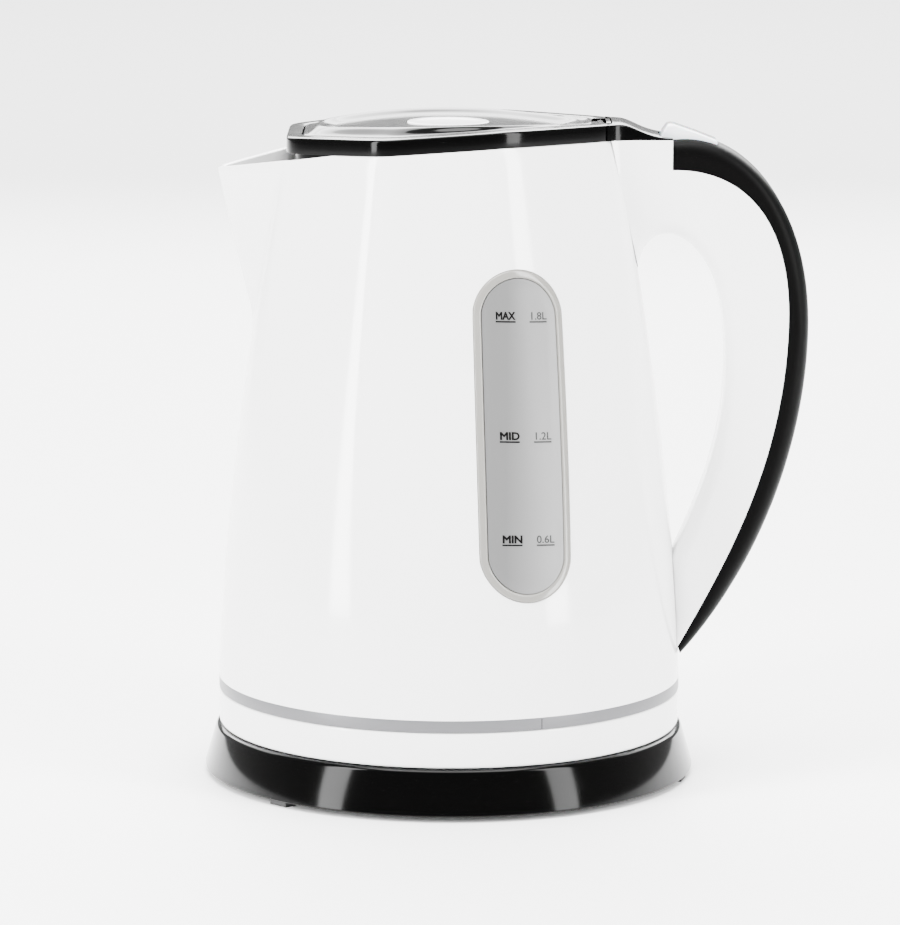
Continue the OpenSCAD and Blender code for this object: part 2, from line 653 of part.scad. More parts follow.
module switch_leads() {
    color("firebrick") for (s = [-1, 1]) tube(
        concat([for (p = lead_path) if (p.y < switch_z - 1) [p.x, s * lead_half, p.y]],
            [[lead_entry.x, s * lead_half, lead_entry.y], [lead_entry.x - 12, s * lead_half, lead_entry.y - 5],
            [connector_r + 10, s * lead_half, base_top + 21], [connector_r + 1.2, s * lead_half, base_top + 21]]), lead_r);
}
module lever_pin() {
    color("silver") translate([lever_pivot.x, 0, lever_pivot.y]) crosswise(lever_pin_r, handle_w - 2.4);
}
module switch_lever() {
    color([0.93, 0.93, 0.95]) difference() {
        across([[tail_x - 3.6, rim_z - 4.4], [tail_x - 4.4, rim_z], [tail_x - 3.2, rim_z + 2.6],
            [tail_x - 0.6, rim_z + 5], [tail_x + 2, rim_z + 5], [tail_x + 9, rim_z + 2.2],
            [tail_x + 16.4, rim_z - 1], [tail_x + 16.4, rim_z - 2], [lever_pivot.x + 3, rim_z - 5.6],
            [lever_pivot.x - 3, rim_z - 5.6]], lever_w);
        translate([lever_pivot.x, 0, lever_pivot.y]) crosswise(lever_pin_r + fit, lever_w + over);
    }
}

// ---- lid ---------------------------------------------------------------------------------------------
button_x = -1;
crest_half_x = 49.5;
crest_half_y = 36;
crest_z = top_z + 1.5;
crest_share = 0.5;            // the crest dips only by this share of the top's slope
basin_z = crest_z - 1.5;
tray_inset = lid_inset + 3.6;
tray_front = lid_front_inset + 6.5;
tray_wall = 2;
tray_z = lid_z - tray_h;
module at_button() { translate([button_x, 0, 0]) children(); }
// The lid's oval crest, moved inwards by d, with the basin round the button inside it
function crest(d) = [for (i = [0:columns - 1]) let (u = [cos(turn(i)), sin(turn(i))])
    (min(1 / norm([u.x / crest_half_x, u.y / crest_half_y]),
        plan_r(turn(i), lid_inset + 3, lid_front_inset + 3)) - d) * u];
module lid_cover() {
    color([0.04, 0.04, 0.04]) difference() {
        union() {
            bent_slab(plan(lid_inset, lid_front_inset), lid_z, cover_top);
            bent_slab(crest(0), lid_z + 1, crest_z, share = crest_share);
            translate([hinge_at.x, 0, hinge_at.y]) crosswise(knuckle_r, 2 * knuckle_half);
            translate([hinge_at.x - 5, -knuckle_half, lid_z]) cube([5, 2 * knuckle_half, knuckle_r * 2 - 0.6]);
        }
        bent_slab(crest(5), basin_z, crest_z + over, share = crest_share);
        translate([hinge_at.x, 0, hinge_at.y]) crosswise(hinge_pin_r + fit, 2 * knuckle_half + over);
        for (s = [-1, 1]) translate([hinge_at.x - hinge_swing, s * (knuckle_half + 6) - 6, lid_z - over])
            cube([hinge_swing, 12, 10]);
        for (s = [-1, 1]) difference() {
            translate([hinge_at.x - 3 * hinge_swing, s * (knuckle_half + 6) - 6, lid_z - over])
                cube([2 * hinge_swing + over, 12, 10]);
            slab(plan(lid_inset + hinge_relief, lid_front_inset + hinge_relief), lid_z - 1, lid_z + 12);
        }
        at_button() post(button_r + seat, lid_z - 4, crest_z + over);
    }
}
module lid_inner() {
    color([0.92, 0.92, 0.92]) {
        difference() {
            bent_slab(plan(tray_inset, tray_front), tray_z, lid_z, level = true);
            slab(plan(tray_inset + tray_wall, tray_front + tray_wall), tray_z + tray_wall, lid_z + over);
            translate([-top_x, -catch_half + 0.5, latch_z - 0.2]) cube([top_x - 20, 2 * catch_half - 1, latch_t + 0.4]);
        }
        at_button() ring(stem_r + 1.2, stem_r + 0.06, tray_z + tray_wall, tray_z + tray_wall + 5);
    }
}
module lid_seal() {
    color([0.8, 0.8, 0.78]) difference() {
        slab(plan(tray_inset - 0.7, tray_front - 0.7), tray_z + 1, tray_z + 3);
        slab(plan(tray_inset, tray_front), tray_z, lid_z);
    }
}
stem_r = 4;
skirt_t = 1.4;
button_top = basin_z - crest_share * sag(button_x) + 0.3;
module lid_button() {
    color([0.85, 0.85, 0.86]) at_button() {
        post(button_r, button_top - 1.8, button_top);
        post(stem_r, tray_z + tray_wall + button_travel + 0.6, button_top - 1.8);
        ring(button_r, button_r - skirt_t, lid_z - 1, button_top - 1.8);
    }
}
spring_r = 6.6;
spring_wire = 0.55;
spring_turns = 4;
module button_spring() {
    low = tray_z + tray_wall + spring_wire;
    high = button_top - 1.8 - spring_wire;
    steps = 12 * spring_turns;
    color("silver") at_button() skin([for (i = [0:steps]) let (a = 30 * i, z = low + (high - low) * i / steps)
        [for (k = [5:-1:0]) let (b = turn(k, 6), r = spring_r + spring_wire * cos(b))
            [r * cos(a), r * sin(a), z + spring_wire * sin(b)]]]);
}
latch_z = tray_z + 5.4;
latch_t = 2.4;
latch_tip = -(top_x - lid_front_inset) + 1;
module lid_latch() {
    color([0.9, 0.9, 0.9]) translate([latch_tip, -catch_half + 1, latch_z])
        cube([-latch_tip - button_r - 4, 2 * catch_half - 2, latch_t]);
}

// Stands a piece, drawn around the jug's axis, where it belongs in the kettle's own frame
module in_frame() { translate([-frame_x, 0, 0]) children(); }

in_frame() base_skirt();
in_frame() base_plate();
in_frame() base_feet();
in_frame() base_screws();
in_frame() base_connector();
in_frame() base_contacts();
in_frame() cord_bush();
in_frame() cord_clamp();
in_frame() contact_stud();
in_frame() lower_trim();
in_frame() waist_band();
in_frame() jug_base_cover();
in_frame() cover_screws();
in_frame() control_unit();
in_frame() contact_rings();
in_frame() safety_bimetal();
in_frame() heating_element();
in_frame() heat_spreader();
in_frame() heating_plate();
in_frame() plate_seal();
in_frame() jug_shell();
in_frame() window_frame();
in_frame() water_window();
in_frame() window_seal();
in_frame() collar();
in_frame() filter_frame();
in_frame() filter_mesh();
in_frame() handle_shell();
in_frame() handle_grip();
in_frame() switch_body();
in_frame() steam_bimetal();
in_frame() switch_leads();
in_frame() lever_pin();
in_frame() switch_lever();
in_frame() hinge_pin();
in_frame() lid_cover();
in_frame() lid_inner();
in_frame() lid_seal();
in_frame() lid_button();
in_frame() button_spring();
in_frame() lid_latch();
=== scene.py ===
"""An electric kettle on its power base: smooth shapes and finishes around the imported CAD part.

Lengths in the classes are millimetres from the jug's own upright axis; to_frame() carries them
into the frame. +X is towards the handle, -X towards the spout and -Y towards the water window.
"""

import json
import logging
import math
from collections.abc import Callable, Sequence
from dataclasses import dataclass
from enum import Enum

import bpy
from mathutils import Matrix, Vector


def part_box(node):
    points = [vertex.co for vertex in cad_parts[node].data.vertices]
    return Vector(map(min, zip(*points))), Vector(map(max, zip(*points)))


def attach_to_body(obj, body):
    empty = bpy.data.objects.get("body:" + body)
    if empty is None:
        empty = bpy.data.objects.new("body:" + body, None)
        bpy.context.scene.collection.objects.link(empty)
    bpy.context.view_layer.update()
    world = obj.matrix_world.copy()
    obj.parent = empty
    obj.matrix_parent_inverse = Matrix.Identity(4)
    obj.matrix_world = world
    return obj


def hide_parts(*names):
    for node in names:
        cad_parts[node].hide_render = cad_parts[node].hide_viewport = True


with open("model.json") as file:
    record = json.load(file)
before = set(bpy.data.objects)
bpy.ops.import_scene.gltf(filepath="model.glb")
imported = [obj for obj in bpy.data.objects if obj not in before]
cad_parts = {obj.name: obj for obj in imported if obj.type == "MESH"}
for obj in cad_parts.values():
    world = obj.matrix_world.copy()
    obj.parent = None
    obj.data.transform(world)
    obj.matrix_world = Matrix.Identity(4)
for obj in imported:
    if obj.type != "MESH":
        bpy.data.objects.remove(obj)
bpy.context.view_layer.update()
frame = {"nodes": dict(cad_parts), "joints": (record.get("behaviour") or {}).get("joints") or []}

LOG = logging.getLogger("kettle")
MM = 0.001
AXIS_X = next(j for j in frame["joints"] if j["name"] == "jug_turn")["pos_m"][0]

Point = tuple[float, float]
Test = Callable[[Vector], bool]


# ---- places ------------------------------------------------------------------------------------


def to_frame(x: float, y: float, z: float) -> Vector:
    """Carries a place from the jug's axis, in millimetres, into the frame."""
    return Vector((AXIS_X + x * MM, y * MM, z * MM))


def from_frame(place: Vector) -> Vector:
    """Carries a place in the frame back to millimetres from the jug's axis."""
    return Vector(((place.x - AXIS_X) / MM, place.y / MM, place.z / MM))


def low(node: str, axis: int) -> float:
    """The lowest place of a CAD node along an axis, in millimetres."""
    return from_frame(Vector(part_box(node)[0]))[axis]


def high(node: str, axis: int) -> float:
    """The highest place of a CAD node along an axis, in millimetres."""
    return from_frame(Vector(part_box(node)[1]))[axis]


def unit_step(t: float) -> float:
    """A smooth step from 0 to 1 as t goes from 0 to 1."""
    s = min(1.0, max(0.0, t))
    return s * s * (3 - 2 * s)


def soft_above(height: float, softness: float) -> float:
    """A height where it is above nothing, with its foot rounded by a softness."""
    return (height + math.sqrt(height * height + softness * softness)) / 2


def curve(points: Sequence[Point], steps: int = 12) -> list[Point]:
    """Follows a chain of cubic curves.

    Args:
        points: The first end, then two handles and an end for each curve.
        steps: How many pieces each curve is cut into.

    Returns:
        The places along the chain, ends included.
    """
    path = [points[0]]
    for start in range(0, len(points) - 1, 3):
        a, b, c, d = points[start : start + 4]
        for k in range(1, steps + 1):
            t = k / steps
            w = ((1 - t) ** 3, 3 * (1 - t) ** 2 * t, 3 * (1 - t) * t * t, t**3)
            path.append(tuple(w[0] * a[i] + w[1] * b[i] + w[2] * c[i] + w[3] * d[i] for i in (0, 1)))
    return path


def rounded(corners: Sequence[tuple], radii: Sequence[float], steps: int = 4) -> list[tuple]:
    """Rounds the corners of a closed profile.

    Args:
        corners: The corners in order, each a tuple of numbers.
        radii: How far each corner's rounding reaches along its two sides.
        steps: How many pieces a rounding has.

    Returns:
        The profile's points, the first one again at the end.
    """
    points: list[tuple] = []
    count = len(corners)
    for i, corner in enumerate(corners):
        before, after = corners[i - 1], corners[(i + 1) % count]
        if radii[i] <= 0:
            points.append(tuple(corner))
            continue
        ends = []
        for other in (before, after):
            length = math.dist(corner, other)
            k = min(radii[i], length * 0.45) / length
            ends.append([c + (o - c) * k for c, o in zip(corner, other)])
        for k in range(steps + 1):
            t = k / steps
            points.append(tuple(
                (1 - t) ** 2 * p + 2 * (1 - t) * t * c + t * t * q
                for p, c, q in zip(ends[0], corner, ends[1])))
    points.append(points[0])
    return points


# ---- modelling steps ---------------------------------------------------------------------------


def pick(obj: bpy.types.Object) -> None:
    """Deselects everything, then selects one object and makes it active."""
    bpy.ops.object.select_all(action="DESELECT")
    obj.select_set(True)
    bpy.context.view_layer.objects.active = obj


def fresh(name: str) -> bpy.types.Object:
    """Names the primitive that was just added and applies its place.

    Args:
        name: The piece's name.

    Returns:
        The new object, with its place in its mesh.
    """
    obj = bpy.context.object
    obj.name = name
    obj.data.name = name
    pick(obj)
    bpy.ops.object.transform_apply(location=True, rotation=True, scale=True)
    return obj


def choose(obj: bpy.types.Object, kind: str, test: Callable[..., bool]) -> None:
    """Opens an object in edit mode with only some faces or edges selected.

    Args:
        obj: The mesh object.
        kind: "FACE" or "EDGE".
        test: For a face gets its middle and its normal; for an edge gets its two ends. Places are
            in millimetres from the jug's axis.
    """
    pick(obj)
    mesh = obj.data
    for item in (mesh.vertices, mesh.edges, mesh.polygons):
        for part in item:
            part.select = False
    if kind == "FACE":
        bpy.context.tool_settings.mesh_select_mode = (False, False, True)
        for face in mesh.polygons:
            face.select = test(from_frame(face.center), face.normal)
    else:
        bpy.context.tool_settings.mesh_select_mode = (False, True, False)
        for edge in mesh.edges:
            ends = [from_frame(mesh.vertices[i].co) for i in edge.vertices]
            edge.select = test(*ends)
            if edge.select:
                for i in edge.vertices:
                    mesh.vertices[i].select = True
    bpy.ops.object.mode_set(mode="EDIT")


def done() -> None:
    """Leaves edit mode."""
    bpy.ops.object.mode_set(mode="OBJECT")


def bevel(obj: bpy.types.Object, width: float, segments: int, test: Callable[..., bool]) -> None:
    """Rounds the edges that pass a test by a width in millimetres."""
    choose(obj, "EDGE", test)
    bpy.ops.mesh.bevel(offset=width * MM, segments=segments, affect="EDGES", clamp_overlap=True)
    done()


def tidy(obj: bpy.types.Object, merge: float = 0.004) -> None:
    """Merges doubled points and turns all faces outwards.

    Args:
        obj: The piece.
        merge: How close two points are merged, in millimetres.
    """
    pick(obj)
    bpy.ops.object.mode_set(mode="EDIT")
    bpy.ops.mesh.select_all(action="SELECT")
    bpy.ops.mesh.remove_doubles(threshold=merge * MM)
    bpy.ops.mesh.normals_make_consistent(inside=False)
    done()


def smooth(obj: bpy.types.Object, degrees: float = 32) -> bpy.types.Object:
    """Shades a piece smooth up to an angle and returns it."""
    pick(obj)
    bpy.ops.object.shade_smooth_by_angle(angle=math.radians(degrees))
    return obj


def combine(obj: bpy.types.Object, other: bpy.types.Object, operation: str = "DIFFERENCE") -> None:
    """Cuts another solid out of a piece, or joins it on, and removes the other.

    Args:
        obj: The piece that stays.
        other: The solid that is used up.
        operation: What is done with the two.
    """
    pick(obj)
    step = obj.modifiers.new("cut", "BOOLEAN")
    step.operation = operation
    step.object = other
    step.solver = "EXACT"
    bpy.ops.object.modifier_apply(modifier=step.name)
    bpy.data.objects.remove(other)


def attach(obj: bpy.types.Object, others: Sequence[bpy.types.Object]) -> None:
    """Joins other meshes into a piece as they are."""
    pick(obj)
    for other in others:
        other.select_set(True)
    bpy.ops.object.join()


def add_post(name: str, radius: float, bottom: float, top: float, x: float = 0.0, y: float = 0.0,
             vertices: int = 64) -> bpy.types.Object:
    """Adds an upright cylinder.

    Args:
        name: The piece's name.
        radius: Its radius.
        bottom: Its lower end.
        top: Its upper end.
        x: Its axis's x.
        y: Its axis's y.
        vertices: How many sides it has.

    Returns:
        The cylinder.
    """
    bpy.ops.object.select_all(action="DESELECT")
    bpy.ops.mesh.primitive_cylinder_add(
        vertices=vertices, radius=radius * MM, depth=(top - bottom) * MM,
        location=to_frame(x, y, (bottom + top) / 2))
    return fresh(name)


def add_bar(name: str, radius: float, length: float, x: float, z: float,
            y: float = 0.0) -> bpy.types.Object:
    """Adds a cylinder that lies across the kettle, along Y.

    Args:
        name: The piece's name.
        radius: Its radius.
        length: Its length.
        x: Its axis's x.
        z: Its axis's z.
        y: Its middle's y.

    Returns:
        The cylinder.
    """
    bpy.ops.object.select_all(action="DESELECT")
    bpy.ops.mesh.primitive_cylinder_add(
        vertices=40, radius=radius * MM, depth=length * MM, location=to_frame(x, y, z),
        rotation=(math.pi / 2, 0, 0))
    return fresh(name)


def add_block(name: str, lows: Sequence[float], highs: Sequence[float]) -> bpy.types.Object:
    """Adds a box between two corners."""
    middle = [(a + b) / 2 for a, b in zip(lows, highs)]
    bpy.ops.object.select_all(action="DESELECT")
    bpy.ops.mesh.primitive_cube_add(size=MM, location=to_frame(*middle),
                                    scale=[b - a for a, b in zip(lows, highs)])
    return fresh(name)


def add_sheet(name: str, columns: int, rows: int,
              shape: Callable[[float, float], Vector]) -> bpy.types.Object:
    """Adds a grid and bends it to a shape that goes round on itself.

    Args:
        name: The piece's name.
        columns: How many faces go round the piece.
        rows: How many faces go along its profile.
        shape: Gives the place for the shares of the way round and along, both from 0 to 1.

    Returns:
        The closed piece.
    """
    bpy.ops.object.select_all(action="DESELECT")
    bpy.ops.mesh.primitive_grid_add(x_subdivisions=columns, y_subdivisions=rows, size=1)
    obj = bpy.context.object
    obj.name = name
    obj.data.name = name
    for vertex in obj.data.vertices:
        vertex.co = shape(vertex.co.x + 0.5, vertex.co.y + 0.5)
    tidy(obj)
    return obj


def add_ring(name: str, columns: int, profile: Sequence[tuple],
             place: Callable[..., Vector]) -> bpy.types.Object:
    """Carries a profile round the kettle.

    Args:
        name: The piece's name.
        columns: How many faces go round.
        profile: The profile's points; a closed one has its first point again at the end.
        place: Gives the place for an angle in degrees and a profile point's numbers.

    Returns:
        The piece.
    """
    rows = len(profile) - 1

    def shape(u: float, v: float) -> Vector:
        """Finds a grid point's place."""
        return place(360 * (u % 1), *profile[round(v * rows)])

    return add_sheet(name, columns, rows, shape)


def lathe(name: str, profile: Sequence[Point], x: float = 0.0,
          columns: int = 160) -> bpy.types.Object:
    """Turns a profile of radii and heights about an upright axis at x.

    Args:
        name: The piece's name.
        profile: The closed profile, as radii and heights.
        x: The axis's x.
        columns: How many steps the turn has.

    Returns:
        The turned solid.
    """
    def place(angle: float, radius: float, z: float) -> Vector:
        """Turns one profile point."""
        a = math.radians(angle)
        return to_frame(x + radius * math.cos(a), radius * math.sin(a), z)

    return add_ring(name, columns, profile, place)


def add_profile(name: str, outline: Sequence[Point], half: Callable[[float], float],
                strips: Sequence[float] = ()) -> bpy.types.Object:
    """Makes a solid from a side outline, as wide at each place as a function says.

    Args:
        name: The piece's name.
        outline: The outline's points as x and z, in order.
        half: Gives half the width at an x.
        strips: The x places where the sides are cut into strips, so that they can curve.

    Returns:
        The solid.
    """
    bpy.ops.object.select_all(action="DESELECT")
    bpy.ops.mesh.primitive_circle_add(vertices=len(outline), radius=MM, fill_type="NGON")
    obj = bpy.context.object
    obj.name = name
    obj.data.name = name
    for vertex, (x, z) in zip(obj.data.vertices, outline):
        vertex.co = to_frame(x, -1, z)
    choose(obj, "FACE", lambda middle, normal: True)
    bpy.ops.mesh.extrude_region_move(TRANSFORM_OT_translate={"value": (0, 2 * MM, 0)})
    for x in strips:
        bpy.ops.mesh.select_all(action="SELECT")
        bpy.ops.mesh.bisect(plane_co=to_frame(x, 0, 0), plane_no=(1, 0, 0))
    done()
    for vertex in obj.data.vertices:
        here = from_frame(vertex.co)
        vertex.co.y = math.copysign(half(here.x) * MM, here.y)
    tidy(obj)
    return obj


def add_loft(name: str, far: Sequence[Point], near: Sequence[Point], half: Callable[[float], float],
             edge: float) -> bpy.types.Object:
    """Makes a solid between two side lines, with both edges of the near one well rounded.

    Args:
        name: The piece's name.
        far: The line whose edges stay sharp, as x and z.
        near: The line whose edges are rounded, with as many points.
        half: Gives half the width at an x.
        edge: The rounding's radius.

    Returns:
        The closed solid.
    """
    arc = [math.radians(90 * k / 7) for k in range(8)]
    side = [0.0, 0.25, 0.5, 0.75]
    turns = len(side) + len(arc)
    stations = len(far)

    def section(u: float) -> tuple[float, float, int]:
        """Finds the side share, the rounding angle and the side for a place round the ring."""
        k = round(u * 2 * turns) % (2 * turns)
        sign = 1 if k < turns else -1
        k = k if k < turns else 2 * turns - 1 - k
        return (side[k], 0.0, sign) if k < len(side) else (1.0, arc[k - len(side)], sign)

    def shape(u: float, v: float) -> Vector:
        """Finds a grid point's place."""
        row = round(v * (stations + 1))
        i = min(max(row - 1, 0), stations - 1)
        (fx, fz), (nx, nz) = far[i], near[i]
        if row in (0, stations + 1):
            return to_frame((fx + nx) / 2, 0, (fz + nz) / 2)
        length = max(math.dist(far[i], near[i]), 0.01)
        radius = min(edge, length * 0.8)
        share, turned, sign = section(u)
        q = share * (1 - radius / length) + radius / length * math.sin(turned) * (share == 1.0)
        x, z = fx + (nx - fx) * q, fz + (nz - fz) * q
        wide = half(x) - min(radius, half(x) * 0.9) * (1 - math.cos(turned))
        return to_frame(x, sign * wide, z)

    return add_sheet(name, 2 * turns, stations + 1, shape)


def spread(line: Sequence[Point], count: int) -> list[Point]:
    """Takes a number of points evenly along a line.

    Args:
        line: The line.
        count: How many points are taken.

    Returns:
        The points, both ends included.
    """
    lengths = [0.0]
    for a, b in zip(line, line[1:]):
        lengths.append(lengths[-1] + math.dist(a, b))
    points, k = [], 0
    for i in range(count):
        goal = lengths[-1] * i / (count - 1)
        while k < len(line) - 2 and lengths[k + 1] < goal:
            k += 1
        t = (goal - lengths[k]) / max(lengths[k + 1] - lengths[k], 1e-9)
        a, b = line[k], line[k + 1]
        points.append((a[0] + (b[0] - a[0]) * t, a[1] + (b[1] - a[1]) * t))
    return points


# ---- finishes ----------------------------------------------------------------------------------


class Grain(Enum):
    """What a surface's fine relief looks like."""

    MOULDED = "moulded"
    SPARKED = "sparked"
    BRUSHED = "brushed"
    CLOUDED = "clouded"


GRAIN_SCALE = {
    Grain.MOULDED: (1, 1, 1),
    Grain.SPARKED: (1, 1, 1),
    Grain.BRUSHED: (0.04, 1, 6),
    Grain.CLOUDED: (1, 1, 0.3),
}


@dataclass(frozen=True)
class Finish:
    """A surface finish that builds its own node material."""

    name: str
    colour: tuple[float, float, float]
    roughness: float
    metallic: float = 0.0
    coat: float = 0.0
    transmission: float = 0.0
    subsurface: float = 0.0
    grain: Grain = Grain.MOULDED
    grain_size: float = 90.0
    relief: float = 0.004
    shade_change: float = 0.02
    gloss_change: float = 0.03
    specular: float = 0.5
    facing: float = 1.0
    # The x span, in millimetres from the jug's axis, of a painted shade that runs from dark to light.
    painted_shade_span: tuple[float, float] | None = None
    slot: str = ""

    def material(self) -> bpy.types.Material:
        """Builds the material once and returns it.

        Returns:
            The material.
        """
        ready = bpy.data.materials.get(self.name)
        if ready:
            return ready
        material = bpy.data.materials.new(self.name)
        material.use_nodes = True
        nodes, links = material.node_tree.nodes, material.node_tree.links
        shader = nodes["Principled BSDF"]
        shader.inputs["Metallic"].default_value = self.metallic
        shader.inputs["Coat Weight"].default_value = self.coat
        shader.inputs["Coat Roughness"].default_value = 0.04
        shader.inputs["Transmission Weight"].default_value = self.transmission
        shader.inputs["Subsurface Weight"].default_value = self.subsurface
        shader.inputs["Subsurface Scale"].default_value = 0.003
        shader.inputs["IOR"].default_value = 1.49
        shader.inputs["Specular IOR Level"].default_value = self.specular
        shader.inputs["Specular Tint"].default_value = (self.facing, self.facing, self.facing, 1)
        places = nodes.new("ShaderNodeTexCoord")
        mapping = nodes.new("ShaderNodeMapping")
        mapping.inputs["Scale"].default_value = GRAIN_SCALE[self.grain]
        links.new(places.outputs["Object"], mapping.inputs["Vector"])
        fine = nodes.new("ShaderNodeTexNoise")
        fine.inputs["Scale"].default_value = self.grain_size
        fine.inputs["Detail"].default_value = 3.0
        links.new(mapping.outputs["Vector"], fine.inputs["Vector"])
        wide = nodes.new("ShaderNodeTexNoise")
        wide.inputs["Scale"].default_value = 14.0
        wide.inputs["Detail"].default_value = 2.0
        links.new(mapping.outputs["Vector"], wide.inputs["Vector"])
        # The colour varies with the wide noise, or on a finish that has one, with a painted shade along
        # x.
        self._shade(nodes, links, shader, self._fade(nodes, links, places) or wide.outputs["Fac"])
        self._gloss(nodes, links, shader, fine)
        relief = nodes.new("ShaderNodeBump")
        relief.inputs["Strength"].default_value = 0.35
        relief.inputs["Distance"].default_value = self.relief * MM
        links.new(fine.outputs["Fac"], relief.inputs["Height"])
        links.new(relief.outputs["Normal"], shader.inputs["Normal"])
        return material

    def _fade(self, nodes: bpy.types.Nodes, links: bpy.types.NodeLinks,
              places: bpy.types.Node) -> bpy.types.NodeSocket | None:
        """Makes a painted shade that runs from dark to light along x, if the finish has one.

        Args:
            nodes: The material's nodes.
            links: The material's links.
            places: The node that gives places on the piece.

        Returns:
            The painted shade's share along x, or None.
        """
        if not self.painted_shade_span:
            return None
        parts = nodes.new("ShaderNodeSeparateXYZ")
        span = nodes.new("ShaderNodeMapRange")
        span.inputs["From Min"].default_value = self.painted_shade_span[0] * MM + AXIS_X
        span.inputs["From Max"].default_value = self.painted_shade_span[1] * MM + AXIS_X
        links.new(places.outputs["Object"], parts.inputs["Vector"])
        links.new(parts.outputs["X"], span.inputs["Value"])
        return span.outputs["Result"]

    def _shade(self, nodes: bpy.types.Nodes, links: bpy.types.NodeLinks,
               shader: bpy.types.Node, share: bpy.types.NodeSocket) -> None:
        """Varies the colour with a wide noise, or with painted shade that runs along x.

        Args:
            nodes: The material's nodes.
            links: The material's links.
            shader: The surface shader.
            share: What runs from the darker to the lighter colour: the noise, or the painted shade along
                x.
        """
        ramp = nodes.new("ShaderNodeValToRGB")
        for stop, k in zip(ramp.color_ramp.elements, (1 - self.shade_change, 1 + self.shade_change)):
            stop.color = (*(min(1.0, c * k) for c in self.colour), 1)
        links.new(share, ramp.inputs["Fac"])
        links.new(ramp.outputs["Color"], shader.inputs["Base Color"])

    def _gloss(self, nodes: bpy.types.Nodes, links: bpy.types.NodeLinks,
               shader: bpy.types.Node, noise: bpy.types.Node) -> None:
        """Varies the roughness a little with a fine noise.

        Args:
            nodes: The material's nodes.
            links: The material's links.
            shader: The surface shader.
            noise: The fine noise.
        """
        spread = nodes.new("ShaderNodeMapRange")
        spread.inputs["To Min"].default_value = max(0.02, self.roughness - self.gloss_change)
        spread.inputs["To Max"].default_value = self.roughness + self.gloss_change
        links.new(noise.outputs["Fac"], spread.inputs["Value"])
        links.new(spread.outputs["Result"], shader.inputs["Roughness"])


WHITE_GLOSS = Finish("gloss white plastic", (0.8, 0.8, 0.8), 0.12, slot="gloss_white")
BLACK_GLOSS = Finish("gloss black plastic", (0.0006, 0.0006, 0.0006), 0.1, specular=0.45,
                     facing=0.12, slot="gloss_black")
BLACK_SATIN = Finish("satin black plastic", (0.0006, 0.0006, 0.0006), 0.46, grain=Grain.SPARKED,
                     grain_size=2200, relief=0.02, specular=0.14, facing=0.2,
                     slot="soft_black")
BLACK_MATT = Finish("matt black plastic", (0.03, 0.03, 0.03), 0.5, grain=Grain.SPARKED,
                    grain_size=1500, relief=0.02, slot="inner_black")
WHITE_MATT = Finish("matt white plastic", (0.82, 0.82, 0.81), 0.42, grain=Grain.SPARKED,
                    grain_size=1500, relief=0.015, slot="inner_white")
BAND_SILVER = Finish("silver lacquer", (0.1, 0.1, 0.105), 0.34, metallic=0.2, specular=0.3,
                     grain=Grain.BRUSHED, grain_size=260, slot="satin_silver")
LEVER_MILK = Finish("milky lever plastic", (0.82, 0.85, 0.88), 0.16, coat=0.4, transmission=0.25,
                    subsurface=0.2, slot="lever_white")
BUTTON_PALE = Finish("pale button plastic", (0.74, 0.74, 0.75), 0.22, coat=0.3,
                     slot="button_silver")
FRAME_CLEAR = Finish("clear window frame", (0.2, 0.195, 0.18), 0.1, transmission=0.15, specular=0.3,
                     grain=Grain.CLOUDED, slot="window_clear")
# The smoked lens is painted darker on the left and lighter on the right: painted shade for its shaded
# inside.
LENS_GREY = Finish("smoked window", (0.15, 0.15, 0.15), 0.3, specular=0.1,
                   shade_change=0.34, painted_shade_span=(20.0, 42.0), grain=Grain.CLOUDED, slot="window_grey")
RUBBER = Finish("black rubber", (0.02, 0.02, 0.02), 0.7, grain=Grain.SPARKED, grain_size=900,
                relief=0.03, slot="rubber_black")
SILICONE = Finish("silicone rubber", (0.72, 0.72, 0.69), 0.5, subsurface=0.1, slot="silicone")
STEEL = Finish("brushed stainless steel", (0.62, 0.62, 0.62), 0.28, metallic=1.0,
               grain=Grain.BRUSHED, grain_size=420, relief=0.01, gloss_change=0.08,
               slot="stainless")
ZINC = Finish("zinc plate", (0.62, 0.62, 0.64), 0.22, metallic=1.0, gloss_change=0.06,
              slot="zinc_screw")
ALUMINIUM = Finish("rolled aluminium", (0.72, 0.72, 0.73), 0.36, metallic=1.0,
                   grain=Grain.BRUSHED, grain_size=300, slot="aluminium")
BRASS = Finish("contact brass", (0.68, 0.5, 0.2), 0.26, metallic=1.0, slot="brass")
BIMETAL = Finish("bimetal strip", (0.55, 0.5, 0.4), 0.34, metallic=1.0, grain=Grain.BRUSHED,
                 grain_size=300, slot="bimetal")
LEAD_RED = Finish("red lead sleeving", (0.42, 0.04, 0.03), 0.5, grain=Grain.SPARKED,
                  grain_size=800, slot="lead_red")
PRINT_BLACK = Finish("black print", (0.002, 0.002, 0.002), 0.6, grain_size=400, specular=0.02)
PRINT_GREY = Finish("grey print", (0.035, 0.035, 0.035), 0.6, grain_size=400, specular=0.02)

CARRIED = {
    BLACK_MATT: ("hinge_pin", "base_plate", "base_connector", "control_unit", "switch_body"),
    RUBBER: ("base_feet", "cord_bush"),
    ZINC: ("base_screws", "contact_stud", "cover_screws", "lever_pin",
           "button_spring"),
    BRASS: ("base_contacts", "contact_rings"),
    WHITE_MATT: ("cord_clamp", "jug_base_cover", "filter_frame", "lid_inner", "lid_latch"),
    BIMETAL: ("safety_bimetal", "steam_bimetal"),
    ALUMINIUM: ("heating_element", "heat_spreader"),
    STEEL: ("heating_plate", "filter_mesh"),
    SILICONE: ("plate_seal", "window_seal", "lid_seal"),
    LEAD_RED: ("switch_leads",),
}


def dress(obj: bpy.types.Object, finish: Finish) -> None:
    """Gives a piece one finish all over."""
    obj.data.materials.clear()
    obj.data.materials.append(finish.material())


